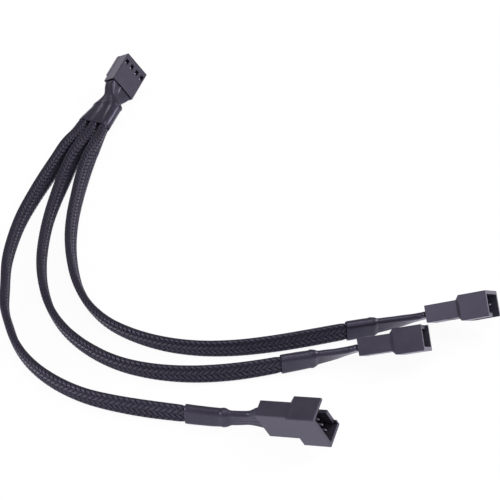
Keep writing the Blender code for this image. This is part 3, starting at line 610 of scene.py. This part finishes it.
# %% Measures of the braid
RIBBONS_EACH_WAY = 8
FILAMENTS = 4
RIBBON_COVER = 0.93
RIBBON_HALF_THICKNESS = 0.08 * MM
WEAVE_DEPTH = 0.14 * MM
STEP_ALONG = 0.36 * MM
FURROW_DEPTH = 0.14 * MM
HOLLOW_WIDTH = 0.3 * WIRE_PITCH
CORE_SINK = 0.04 * MM
CORE_WALL = 0.03 * MM
CORE_COLUMNS = 20
CORE_STEP = 2 * MM
BULGE_RISE = 8.3 * MM
BULGE_FALL = 2.0 * MM

# Distance from one float to the next: drawn long at the junction, bunched in the bend, then long again
FLOAT_AT_JUNCTION = 1.95 * MM
FLOAT_IN_BEND = 1.38 * MM
FLOAT_AT_SOCKET = 1.65 * MM
BEND_AT = 0.65


# %% Outline of a ribbon and its helix
def ribbon_outline():
    """Across a ribbon and back: a crest on each filament above, and a flat underside.

    Places across run from -1 to 1, and heights are in half thicknesses.
    """
    crest, valley, edge = 1.0, 0.3, -0.5
    underside = [(0.8, -1.0), (-0.8, -1.0)]
    across = np.linspace(-1, 1, 2 * FILAMENTS + 1)
    height = np.where(np.arange(len(across)) % 2 == 1, crest, valley)
    height[[0, -1]] = edge
    return np.vstack([np.stack([across, height], axis=1), underside])


RIBBON_OUTLINE = ribbon_outline()
print("points round a ribbon", len(RIBBON_OUTLINE))


def braid_turns(along):
    """Turns of a ribbon round the sleeve from its start, for each distance along the sleeve.

    The pitch of the floats blends from one value to the next, and the turns are the sum of steps
    over it, so the weave stays even where the pitch changes.
    """
    share = along / along[-1]
    bunched = FLOAT_AT_JUNCTION + (FLOAT_IN_BEND - FLOAT_AT_JUNCTION) * smooth_step(share / BEND_AT)
    pitch = bunched + (FLOAT_AT_SOCKET - FLOAT_IN_BEND) * smooth_step((share - BEND_AT) / (1 - BEND_AT))
    slope = 1 / (pitch * RIBBONS_EACH_WAY)
    steps = np.diff(along) * (slope[1:] + slope[:-1]) / 2
    return np.concatenate([[0.0], np.cumsum(steps)])


# %% How full the sleeve is
def fullness(name, along):
    """Extra outset of a sleeve where no shrink tube presses on it.

    It grows over BULGE_RISE from the junction on and is gone again at the socket's shrink tube.
    """
    branch = BRANCHES[name]
    open_start = JUNCTION_LENGTH - BRAID_INSET + FLATTEN_START
    open_end = JUNCTION_LENGTH - BRAID_INSET + housing_at[name] - branch["shrink"]
    grown = smooth_step((along - open_start) / BULGE_RISE)
    return BRAID_BULGE * grown * smooth_step((open_end - along) / BULGE_FALL)


# %% Furrows between the wires
def furrows(x, normal_y, across):
    """Sinking of the sleeve between the wires, as a length to take from its outset.

    Over a flat row it is a cosine of the place across with the pitch of the wires, and over a
    round bundle it is one hollow in the middle. Both fade out on the rounded edges.
    """
    flat = np.clip((across - ROUND_ROOM) / (3 * PAIR_RADIUS + WIRE_ROOM - ROUND_ROOM), 0, 1)
    rows = (1 + np.cos(2 * pi * x / WIRE_PITCH)) / 2
    middle = np.exp(-(x / HOLLOW_WIDTH) ** 2)
    return FURROW_DEPTH * (rows * flat + middle * (1 - flat)) * np.abs(normal_y)


# %% One family of ribbons as arrays
def ribbon_points(sections, along, way, bulge):
    """Points of all ribbons that turn one way, as an array of ribbon, step, outline point, xyz.

    The turn of a point is its ribbon's number, plus the turns that the helix has made, plus its
    own place across the ribbon. The weave is a cosine of the turn with one period for each two
    ribbons, so the two ways swap over and under in lengthwise rows. The same cosine, from 0 to 1
    and falling off towards the ribbon's edges, is returned for each point as its share of painted
    highlight: high on the tops of floats, low where the ribbon dives into painted shade.
    """
    center, wide, thin, across, through = (part[None, :, None] for part in sections)
    number = np.arange(RIBBONS_EACH_WAY)[:, None, None]
    sideways, height = RIBBON_OUTLINE.T
    turn = (number + sideways * RIBBON_COVER / 2) / RIBBONS_EACH_WAY + way * braid_turns(along)[None, :, None]
    weave = way * np.cos(pi * (RIBBONS_EACH_WAY * turn - 0.25))
    skin = BRAID_WALL - WEAVE_DEPTH - RIBBON_HALF_THICKNESS + bulge[None, :, None]
    x, y, normal_x, normal_y = rounded_outline(turn, across + skin, through + skin, through + skin)
    rise = WEAVE_DEPTH * weave + RIBBON_HALF_THICKNESS * height - furrows(x, normal_y, across)
    x, y = x + normal_x * rise, y + normal_y * rise
    points = center + wide * x[..., None] + thin * y[..., None]
    # Painted highlight share: 1 on the top of a float, 0 where the ribbon dives into painted shade, less
    # towards its edges
    crown_highlight = (0.5 + 0.5 * weave) * (1 - 0.5 * sideways ** 2)
    return points, crown_highlight


# %% Hollow tubes around a row of sections
def tube_rings(sections, columns, outset, corner=None, relief=None):
    """Grid of points around sections, outset from the wires' room; relief adds to the outset."""
    center, wide, thin, across, through = sections
    turn = (np.arange(columns) / columns)[None, :]
    corner = through if corner is None else corner
    outset = np.broadcast_to(np.asarray(outset), across.shape)
    sizes = [np.asarray(size)[:, None] + outset[:, None] for size in (across, through, corner)]
    x, y, normal_x, normal_y = rounded_outline(turn, *sizes)
    if relief is not None:
        x = x + normal_x * relief
        y = y + normal_y * relief
    return center[:, None] + wide[:, None] * x[..., None] + thin[:, None] * y[..., None]


def tube_arrays(outer, inner, first=0):
    """Vertices and faces of a closed wall between an outer and an inner grid of rings."""
    rows, columns = outer.shape[:2]
    count = rows * columns
    vertices = np.concatenate([outer.reshape(-1, 3), inner.reshape(-1, 3)])
    outer_faces = grid_faces(rows, columns, first)
    inner_faces = grid_faces(rows, columns, first + count)[:, ::-1]
    column = np.arange(columns)
    following = (column + 1) % columns
    ends = []
    for row, turned in ((0, False), (rows - 1, True)):
        base = first + row * columns
        rim = np.stack([base + column, base + following, base + count + following,
                        base + count + column], axis=1)
        ends.append(rim[:, ::-1] if turned else rim)
    return vertices, np.concatenate([outer_faces, inner_faces, *ends])


# %% [markdown]
# ## A whole sleeve
# A sleeve is one mesh: sixteen closed ribbons, and a plain dark tube just inside them, so that no
# light comes through the small gaps of the braid. Copies of one short float along the sleeve would
# be simpler, but they would show a seam at every copy, and a ribbon runs through from end to end.

# %% Ribbons and core of a sleeve
def sleeve_ribbons(name, sections, along):
    """Lists of vertices, faces, maps and painted highlight shares, one entry for each ribbon, and all end
    caps.

    The map has U across the ribbon, from 0 to 1, and V along it in millimetres.
    """
    points = len(RIBBON_OUTLINE)
    across = np.tile((RIBBON_OUTLINE[:, 0] + 1) / 2, len(along))
    ribbon_map = np.stack([across, np.repeat(along / MM, points)], axis=1)
    vertices, faces, maps, crown_highlights, caps = [], [], [], [], []
    for way in (1, -1):
        for ribbon, crown_highlight in zip(*ribbon_points(sections, along, way, fullness(name, along))):
            first = len(vertices) * len(along) * points
            end = first + len(along) * points
            vertices.append(ribbon.reshape(-1, 3))
            faces.append(grid_faces(len(along), points, first))
            maps.append(ribbon_map)
            crown_highlights.append(crown_highlight.ravel())
            caps += [range(first, first + points), range(end - points, end)]
    return vertices, faces, maps, crown_highlights, caps


def sleeve_core(name, sections, along, first):
    """Vertices and faces of the tube inside the ribbons."""
    depth = 2 * WEAVE_DEPTH + 2 * RIBBON_HALF_THICKNESS + CORE_SINK
    skin = BRAID_WALL - depth + fullness(name, along)
    outer = tube_rings(sections, CORE_COLUMNS, skin)
    inner = tube_rings(sections, CORE_COLUMNS, skin - CORE_WALL)
    return tube_arrays(outer, inner, first)


# %% Build one braided sleeve
PATH_STEP = 3 * MM


def braided_sleeve(name, finish):
    """Braided sleeve of one branch: its ribbons and the dark core inside them."""
    sections = sleeve_sections(name)
    length = along_sections(sections)[-1]
    along = np.linspace(0, length, int(length / STEP_ALONG))
    vertices, faces, maps, crown_highlights, caps = sleeve_ribbons(name, resampled(sections, along), along)
    core_along = np.linspace(0, length, int(length / CORE_STEP))
    core_vertices, core_faces = sleeve_core(name, resampled(sections, core_along), core_along,
                                            sum(map(len, vertices)))
    vertices.append(core_vertices)
    faces.append(core_faces)
    maps.append(np.zeros((len(core_vertices), 2)))
    # The core gets no highlight share, so it takes the filament's black with painted shade
    crown_highlights.append(np.zeros(len(core_vertices)))
    piece = mesh_from_arrays(f"braided_sleeve_{name}", np.concatenate(vertices), np.concatenate(faces), caps,
                             np.concatenate(maps), np.concatenate(crown_highlights))
    piece.data.materials.append(finish)
    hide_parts(f"braid_{name}")
    path = resampled(sections, np.linspace(0, length, int(length / PATH_STEP)))[0]
    print(piece.name, "length mm", round(length / MM, 1), "triangles", 2 * sum(map(len, faces)))
    return piece


# %% [markdown]
# ## The finish of the filaments
# Monofilament is clear, hard plastic dyed black. Its colour is painted lighter where a ribbon rises
# towards the light, as a painted highlight, and nearly black where it dives under the next ribbon, as
# painted shade. The value that each vertex carries steers both this painted light and the gloss.
# Between the crests of the mesh a fine ridge splits each filament in two. It follows the ribbon's
# own map, with U across the ribbon and V along it.

# %% Finish of the monofilament
# Filament black with painted shade where a ribbon dives, and the painted highlight on the tops of floats
FILAMENT_BLACK_IN_SHADE = (0.004, 0.004, 0.006)
FILAMENT_PAINTED_HIGHLIGHT = (0.034, 0.030, 0.046)
FILAMENT_ROUGHNESS = (0.60, 0.28)
HIGHLIGHT_SHARPNESS = 2.2
DULLEST_SHARE = 0.7


def monofilament():
    """Colour with painted highlight and shade, and gloss, by each vertex's share raised to a power and made
    uneven by the shared grain.
    """
    finish, tree, shader = new_finish("braid_black_monofilament")
    shader.inputs["Specular IOR Level"].default_value = 0.42
    shader.inputs["Specular Tint"].default_value = GLOSS_TINT
    place = add_node(tree, "ShaderNodeUVMap", uv_map="along")
    split = tree.nodes.new("ShaderNodeSeparateXYZ")
    tree.links.new(place.outputs["UV"], split.inputs["Vector"])
    ridge = add_node(tree, "ShaderNodeMath", operation="PINGPONG")
    ridge.inputs[1].default_value = 1 / (4 * FILAMENTS)
    tree.links.new(split.outputs["X"], ridge.inputs[0])
    add_relief(tree, shader, ridge.outputs["Value"], 0.5 * MM, strength=0.4)
    # Share of painted highlight at each vertex, from the braid's geometry
    crown_highlight = add_node(tree, "ShaderNodeAttribute", attribute_name="crown_highlight")
    raised_highlight = add_node(tree, "ShaderNodeMath", operation="POWER")
    raised_highlight.inputs[1].default_value = HIGHLIGHT_SHARPNESS
    tree.links.new(crown_highlight.outputs["Fac"], raised_highlight.inputs[0])
    grain = place_grain(tree, 3500.0, 420.0)
    uneven = add_node(tree, "ShaderNodeMapRange")
    uneven.inputs["From Min"].default_value = 0.3
    uneven.inputs["From Max"].default_value = 0.7
    uneven.inputs["To Min"].default_value = DULLEST_SHARE
    tree.links.new(grain.outputs["Mask"], uneven.inputs["Value"])
    mask = add_node(tree, "ShaderNodeMath", operation="MULTIPLY")
    tree.links.new(raised_highlight.outputs["Value"], mask.inputs[0])
    tree.links.new(uneven.outputs["Result"], mask.inputs[1])
    color_and_gloss(tree, shader, mask.outputs["Value"], FILAMENT_BLACK_IN_SHADE, FILAMENT_PAINTED_HIGHLIGHT, FILAMENT_ROUGHNESS)
    return finish


# %% Build the three sleeves
braid_finish = monofilament()
sleeves = [braided_sleeve(name, braid_finish) for name in BRANCHES]
print("sleeves", [piece.name for piece in sleeves])

# %% [markdown]
# ## The heat shrink
# Shrink tube follows whatever lies under it. Over a braid it is nearly flat, at the braid's cut end
# it rises over a ridge, over bare wires it sinks between them, and at a housing it flares with the
# fanned wires. All of that is one grid: a row of sections whose outset changes along the tube, with
# a relief that depends on the place along it and around it.

# %% Finish of the shrink tube
shrink_finish = plastic("heat_shrink_satin", (0.015, 0.014, 0.020), (0.024, 0.021, 0.032), (0.28, 0.40),
                        900.0, 160.0, 0.015 * MM, specular=0.42)
print("finish", shrink_finish.name)

# %% One shrink tube
SHRINK_SKIN = 0.16 * MM
SHRINK_STEP = 0.22 * MM
SHARP_EDGE = radians(60)
FAN_TRIM = 0.28 * MM
LIP_DEPTH = 0.12 * MM


def fan_trim(spread):
    """How much closer the tube lies on the fanned wires than the room that they are given."""
    return FAN_TRIM * (spread - 1) / (CONTACT_PITCH / WIRE_PITCH - 1)


def cut_lip(from_end, fade):
    """Thinning towards a cut end: it halves again and again with the distance from that end."""
    return -LIP_DEPTH * np.exp(-from_end / fade)[:, None]


def gentle_noise(shape, cells, seed):
    """Smooth random surface between -1 and 1: coarse random values blended by smooth steps."""
    chance = np.random.default_rng(seed)
    rows, columns = cells
    coarse = chance.uniform(-1, 1, (rows + 1, columns))
    coarse = np.concatenate([coarse, coarse[:, :1]], axis=1)
    y, x = np.linspace(0, rows, shape[0]), np.linspace(0, columns, shape[1], endpoint=False)
    row, column = np.minimum(y.astype(int), rows - 1), x.astype(int)
    down, right = smooth_step(y - row)[:, None], smooth_step(x - column)[None, :]
    top = coarse[row][:, column] * (1 - right) + coarse[row][:, column + 1] * right
    bottom = coarse[row + 1][:, column] * (1 - right) + coarse[row + 1][:, column + 1] * right
    return top * (1 - down) + bottom * down


def shrink_piece(name, node, sections, outset, corner, relief, columns):
    """Shrink tube of a thin wall whose outside lies at outset, changed by relief."""
    outer = tube_rings(sections, columns, outset, corner, relief)
    inner = tube_rings(sections, columns, outset - SHRINK_SKIN, corner, relief)
    vertices, faces = tube_arrays(outer, inner)
    piece = mesh_from_arrays(name, vertices, faces)
    piece.data.set_sharp_from_angle(angle=SHARP_EDGE)
    piece.data.materials.append(shrink_finish)
    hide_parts(node)
    print(name, "faces", len(faces))
    return piece


# %% [markdown]
# ## Heat shrink at each socket
# From the braid to the socket the tube shows four things: a thin lip where it was cut, a ridge over
# the braid's end, faint ribs over the bare wires and a flare at the housing. Each is a small length
# added to or taken from the tube's outset. Because they are all plain sums, one can be changed
# without touching the others.

# %% Measures of the socket's heat shrink
SHRINK_COLUMNS = 72
RIDGE_HEIGHT = 0.16 * MM
RIDGE_WIDTH = 0.5 * MM
RIDGE_OFFSET = 0.6 * MM
RIDGE_SWAY = 0.25 * MM
NECK_LENGTH = 1.4 * MM
RIB_DEPTH = 0.03 * MM
WRINKLE_DEPTH = 0.035 * MM
SOCKET_LIP_FADE = 0.35 * MM


def wire_ribs(turn, sections, to_housing, strength):
    """Lengthwise ribs over the four wires: a dip between wires on both wide sides, none at the edges."""
    across, through = sections[3], sections[4]
    half_wide, half_thin = (across + SHRINK_WALL)[:, None], (through + SHRINK_WALL)[:, None]
    x, _, normal_x, _ = rounded_outline(turn, half_wide, half_thin, half_thin)
    pitch = WIRE_PITCH * fan_spread(to_housing)[:, None]
    rib = np.cos(2 * pi * (x / pitch + 0.5))
    return strength[:, None] * (rib - 1) / 2 * (1 - np.abs(normal_x))


def braid_end_ridge(to_housing, around, braid_end, seed):
    """Ridge over the braid's end: a bell curve along the tube whose crest sways round it.

    Its height also changes round the tube, with two highs and two lows.
    """
    crest = braid_end + RIDGE_OFFSET + RIDGE_SWAY * np.sin(around + seed)
    bell = np.exp(-((to_housing[:, None] - crest) / RIDGE_WIDTH) ** 2)
    return RIDGE_HEIGHT * bell * (0.8 + 0.25 * np.cos(2 * around + seed))


# %% Build the socket's heat shrink
def socket_shrink(name, seed):
    """Shrink tube of one branch, from its cut end on the braid to the socket."""
    branch = BRANCHES[name]
    start = housing_at[name] - branch["shrink"]
    distance = np.arange(start, housing_at[name] - SEAT_GAP + 1e-7, SHRINK_STEP)
    sections = eased(open_sections(name, distance), SHRINK_EASING)
    to_housing = housing_at[name] - distance
    braid_end = branch["braid_end"] + SEAT_GAP
    over_braid = smooth_step((to_housing - braid_end + NECK_LENGTH) / NECK_LENGTH)
    outset = SHRINK_WALL + SHRINK_COVER * over_braid - fan_trim(fan_spread(to_housing))
    turn = (np.arange(SHRINK_COLUMNS) / SHRINK_COLUMNS)[None, :]
    ridge = braid_end_ridge(to_housing, 2 * pi * turn, braid_end, seed)
    ribs = wire_ribs(turn, sections, to_housing, RIB_DEPTH * (1 - over_braid))
    lip = cut_lip(distance - start, SOCKET_LIP_FADE)
    wrinkles = WRINKLE_DEPTH * gentle_noise((len(distance), SHRINK_COLUMNS), (9, 8), seed)
    relief = ridge + ribs + lip + wrinkles
    return shrink_piece(f"shrink_tube_{name}", f"heat_shrink_{name}", sections, outset,
                        sections[4], relief, SHRINK_COLUMNS)


socket_shrinks = [socket_shrink(name, seed) for seed, name in enumerate(BRANCHES)]
print("shrink tubes at the sockets", [piece.name for piece in socket_shrinks])

# %% [markdown]
# ## The junction
# One wide shrink tube gathers the three branches. At its mouth it lies over three round sleeves, so
# it bulges over each and dips between them. Towards the plug the sleeves end inside it and it
# narrows to a neck, and then it flares again to the width of the plug. Tube this wide never shrinks
# evenly, so it is wrinkled lengthwise.

# %% Measures of the junction's tube
JUNCTION_COLUMNS = 108
JUNCTION_SKIN = 0.50 * MM
SHOULDER_START = 7.3 * MM
SHOULDER_LENGTH = 1.2 * MM
SHOULDER_RISE = 0.22 * MM
SHOULDER_WIDTH = 0.7 * MM
SLEEVE_DIP = 0.30 * MM
LONG_CREASE = 0.07 * MM
SHORT_CREASE = 0.05 * MM
MOUTH_LIP_FADE = 0.4 * MM


def creases(shape):
    """Few lengthwise waves with many round the tube, plus shorter ones in both directions."""
    return LONG_CREASE * gentle_noise(shape, (3, 26), 11) + SHORT_CREASE * gentle_noise(shape, (10, 20), 12)


# %% Build the junction's tube
def junction_tube():
    """Shrink tube over all three branches, from the plug to the junction's mouth."""
    distance = np.arange(SEAT_GAP, JUNCTION_MOUTH + 1e-7, SHRINK_STEP)
    sections = list(junction_sections(distance, np.zeros(len(distance))))
    parted = np.maximum(parting(distance), smooth_step((distance - SHOULDER_START) / SHOULDER_LENGTH))
    spread = fan_spread(distance, JUNCTION_FAN)
    sections[3], sections[4] = wire_room(spread, np.sin(pi / 2 * parted))
    pitch = LAYER_PITCH + (BUNDLE_PITCH - LAYER_PITCH) * parted
    corner = sections[4].copy()
    sections[4] = sections[4] + pitch
    outset = SHRINK_WALL + (JUNCTION_SKIN - SHRINK_WALL) * parted - fan_trim(spread)
    turn = (np.arange(JUNCTION_COLUMNS) / JUNCTION_COLUMNS)[None, :]
    sizes = [(size + outset)[:, None] for size in (sections[3], sections[4], corner)]
    _, y, _, normal_y = rounded_outline(turn, *sizes)
    between = np.cos(2 * pi * y / pitch[:, None])
    dips = SLEEVE_DIP * parted[:, None] * (between - 1) / 2 * (1 - np.abs(normal_y))
    past_shoulder = (distance - SHOULDER_START - SHOULDER_LENGTH) / SHOULDER_WIDTH
    shoulder = SHOULDER_RISE * np.exp(-past_shoulder ** 2)[:, None]
    lip = cut_lip(distance[-1] - distance, MOUTH_LIP_FADE)
    relief = dips + creases((len(distance), JUNCTION_COLUMNS)) + shoulder + lip
    return shrink_piece("junction_shrink_tube", "junction_heat_shrink", sections, outset, corner, relief,
                        JUNCTION_COLUMNS)


junction_piece = junction_tube()
print("junction", junction_piece.name)

# %% [markdown]
# ## The moulded connectors
# The housings' forms are already right in the solids, but their edges are perfectly sharp, and no
# moulded edge is. A thin round on each edge catches the light as a fine line, which is how a black
# box stays readable. Each housing is therefore a copy of its solid, merged to clean faces and given
# a narrow bevel. The bevel makes the shading of a large flat side drift towards its edges, so the
# normals are then weighted by face area, which makes the flat sides plain again.

# %% Rounded copy of a solid
MERGE_DISTANCE = 0.002 * MM
FLAT_ENOUGH = radians(0.6)
EDGE_ANGLE = radians(25)
HOUSING_ROUND = 0.12 * MM
CONTACT_ROUND = 0.05 * MM


def rounded_copy(node, name, width, finish):
    """Copy of a node's solid with narrow rounds on its edges, which stands for that node."""
    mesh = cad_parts[node].data.copy()
    mesh.name = name
    bm = bmesh.new()
    bm.from_mesh(mesh)
    bmesh.ops.remove_doubles(bm, verts=bm.verts, dist=MERGE_DISTANCE)
    bmesh.ops.dissolve_limit(bm, angle_limit=FLAT_ENOUGH, verts=bm.verts, edges=bm.edges)
    bm.to_mesh(mesh)
    bm.free()
    mesh.shade_smooth()
    piece = bpy.data.objects.new(name, mesh)
    bpy.context.scene.collection.objects.link(piece)
    rounding = piece.modifiers.new("rounded_edges", "BEVEL")
    rounding.width = width
    rounding.segments = 2
    rounding.limit_method = "ANGLE"
    rounding.angle_limit = EDGE_ANGLE
    flat_faces = piece.modifiers.new("flat_faces", "WEIGHTED_NORMAL")
    flat_faces.mode = "FACE_AREA"
    flat_faces.weight = 100
    mesh.materials.clear()
    mesh.materials.append(finish)
    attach(piece, "root")
    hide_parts(node)
    return piece


# %% [markdown]
# ## The moulded nylon
# A mould is sparked or blasted, so the nylon has an even, very fine grain and a soft sheen. A single
# roughness would look like painted wood. The grain's mask lets the gloss wander a little, and the
# bump is kept to a few microns.

# %% Finish of the moulded nylon
nylon_finish = plastic("moulded_black_nylon", (0.019, 0.017, 0.024), (0.030, 0.027, 0.038), (0.34, 0.44),
                       2600.0, 300.0, 0.006 * MM)

housing_nodes = ["female_housing"] + [f"male_housing_{name}" for name in BRANCHES]
housings = [
    rounded_copy(node, f"moulded_{node}", HOUSING_ROUND, nylon_finish)
    for node in housing_nodes
]
print("housings", [piece.name for piece in housings])

# %% [markdown]
# ## The contacts
# Contacts are stamped from brass and plated with tin, which is bright but not mirror-smooth. Only
# specks of them show, deep in dark cavities, so their finish is a dull grey metal with fine grain.

# %% Finish of the tin plating
def tin_plating():
    finish, tree, shader = new_finish("tin_plated_brass")
    shader.inputs["Metallic"].default_value = 1.0
    grain = place_grain(tree, 5000.0, 700.0)
    color_and_gloss(tree, shader, grain.outputs["Mask"], (0.17, 0.16, 0.20), (0.28, 0.26, 0.32), (0.40, 0.55))
    add_relief(tree, shader, grain.outputs["Height"], 0.004 * MM)
    return finish


# %% Plate the contacts
tin_finish = tin_plating()
contact_nodes = [f"female_contact_{number}" for number in (1, 2, 3, 4)]
contact_nodes += [f"male_pin_{name}_{number}" for name in BRANCHES for number in WIRES[name]]
contacts = [
    rounded_copy(node, f"plated_{node}", CONTACT_ROUND, tin_finish) for node in contact_nodes
]
print("contacts", len(contacts))

# %% [markdown]
# ## The wires
# The wires' skin is soft black plastic. It shows only in the gap behind each housing, and there the
# solids are already right, so the wires keep their own meshes and only get a finish.

# %% Finish of the wires
wire_finish = plastic("wire_skin_black", (0.014, 0.014, 0.016), (0.024, 0.023, 0.028), (0.35, 0.5),
                      1500.0, 250.0, 0.006 * MM)
wires = [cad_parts[f"wire_{name}_{number}"] for name in BRANCHES for number in WIRES[name]]
for wire in wires:
    wire.data.materials.clear()
    wire.data.materials.append(wire_finish)
print("wires", len(wires))

# %% [markdown]
# ## The floor
# The cable lies on a white table that fades into a white background. Enough lamp light to make a
# floor white would wash the black parts out, so most of the white is glow that only the camera and
# reflections see. The rest is an ordinary surface, which takes a faint soft shadow. In reflections
# the glow is violet and brighter than white, which lifts the undersides of the connectors.

# %% Build the floor
FLOOR_SIZE = 6.0
GLOW_SHARE = 0.94
GLOW_IN_REFLECTIONS = (1.22, 1.17, 1.36, 1.0)


def floor_finish():
    finish, tree, shader = new_finish("white_table")
    shader.inputs["Base Color"].default_value = (0.90, 0.90, 0.90, 1.0)
    shader.inputs["Roughness"].default_value = 0.6
    shader.inputs["Specular IOR Level"].default_value = 0.2
    glow = tree.nodes.new("ShaderNodeEmission")
    path = tree.nodes.new("ShaderNodeLightPath")
    sheen = add_node(tree, "ShaderNodeMix", data_type="RGBA")
    sheen.inputs["A"].default_value = (1.0, 1.0, 1.0, 1.0)
    sheen.inputs["B"].default_value = GLOW_IN_REFLECTIONS
    tree.links.new(path.outputs["Is Glossy Ray"], sheen.inputs["Factor"])
    tree.links.new(sheen.outputs["Result"], glow.inputs["Color"])
    seen = add_node(tree, "ShaderNodeMath", operation="MAXIMUM")
    tree.links.new(path.outputs["Is Camera Ray"], seen.inputs[0])
    tree.links.new(path.outputs["Is Glossy Ray"], seen.inputs[1])
    share = add_node(tree, "ShaderNodeMath", operation="MULTIPLY")
    share.inputs[1].default_value = GLOW_SHARE
    tree.links.new(seen.outputs["Value"], share.inputs[0])
    blend = tree.nodes.new("ShaderNodeMixShader")
    tree.links.new(share.outputs["Value"], blend.inputs["Fac"])
    tree.links.new(shader.outputs["BSDF"], blend.inputs[1])
    tree.links.new(glow.outputs["Emission"], blend.inputs[2])
    output = tree.nodes["Material Output"]
    tree.links.new(blend.outputs["Shader"], output.inputs["Surface"])
    return finish


floor_mesh = bpy.data.meshes.new("table")
half = FLOOR_SIZE / 2
floor_corners = [(-half, -half, 0), (half, -half, 0), (half, half, 0), (-half, half, 0)]
floor_mesh.from_pydata(floor_corners, [], [(0, 1, 2, 3)])
floor = bpy.data.objects.new("table", floor_mesh)
floor_mesh.materials.append(floor_finish())
bpy.context.scene.collection.objects.link(floor)
print("floor", FLOOR_SIZE, "m square")

# %% [markdown]
# ## World and lamps
# Black plastic shows little but what it reflects, so each lamp stands where one kind of face mirrors
# it. The right one lights the plug and puts the highlight on the junction's tube. The others, on the
# left, at the back left, overhead and in front, light the remaining sides. Wide, weak lamps and a
# pale world keep the shadows soft.

# %% Set the world and the lamps
world = bpy.data.worlds.new("studio")
bpy.context.scene.world = world
world.use_nodes = True
background = world.node_tree.nodes["Background"]
background.inputs["Color"].default_value = (0.97, 0.95, 1.0, 1.0)
background.inputs["Strength"].default_value = 0.35


def soft_lamp(name, place, width, height, watts):
    """Rectangular lamp aimed at the middle of the cable."""
    lamp_data = bpy.data.lights.new(name, "AREA")
    lamp_data.shape = "RECTANGLE"
    lamp_data.size = width
    lamp_data.size_y = height
    lamp_data.color = (0.96, 0.93, 1.0)
    lamp_data.energy = watts
    lamp = bpy.data.objects.new(name, lamp_data)
    lamp.location = place
    lamp.rotation_euler = (-Vector(place)).to_track_quat("-Z", "Y").to_euler()
    bpy.context.scene.collection.objects.link(lamp)
    return lamp


soft_lamp("right", (0.52, 0.18, 0.42), 0.36, 0.30, 3.6)
soft_lamp("left", (-0.71, -0.37, 0.36), 0.32, 0.30, 5.0)
soft_lamp("back_left", (-0.49, 0.73, 0.15), 0.25, 0.25, 0.3)
soft_lamp("overhead", (0.05, -0.12, 0.80), 0.50, 0.50, 2.6)
soft_lamp("front", (0.08, -0.64, 0.48), 0.40, 0.40, 0.9)
bpy.context.scene.view_settings.view_transform = "Standard"
print("lamps", len(bpy.data.lights))
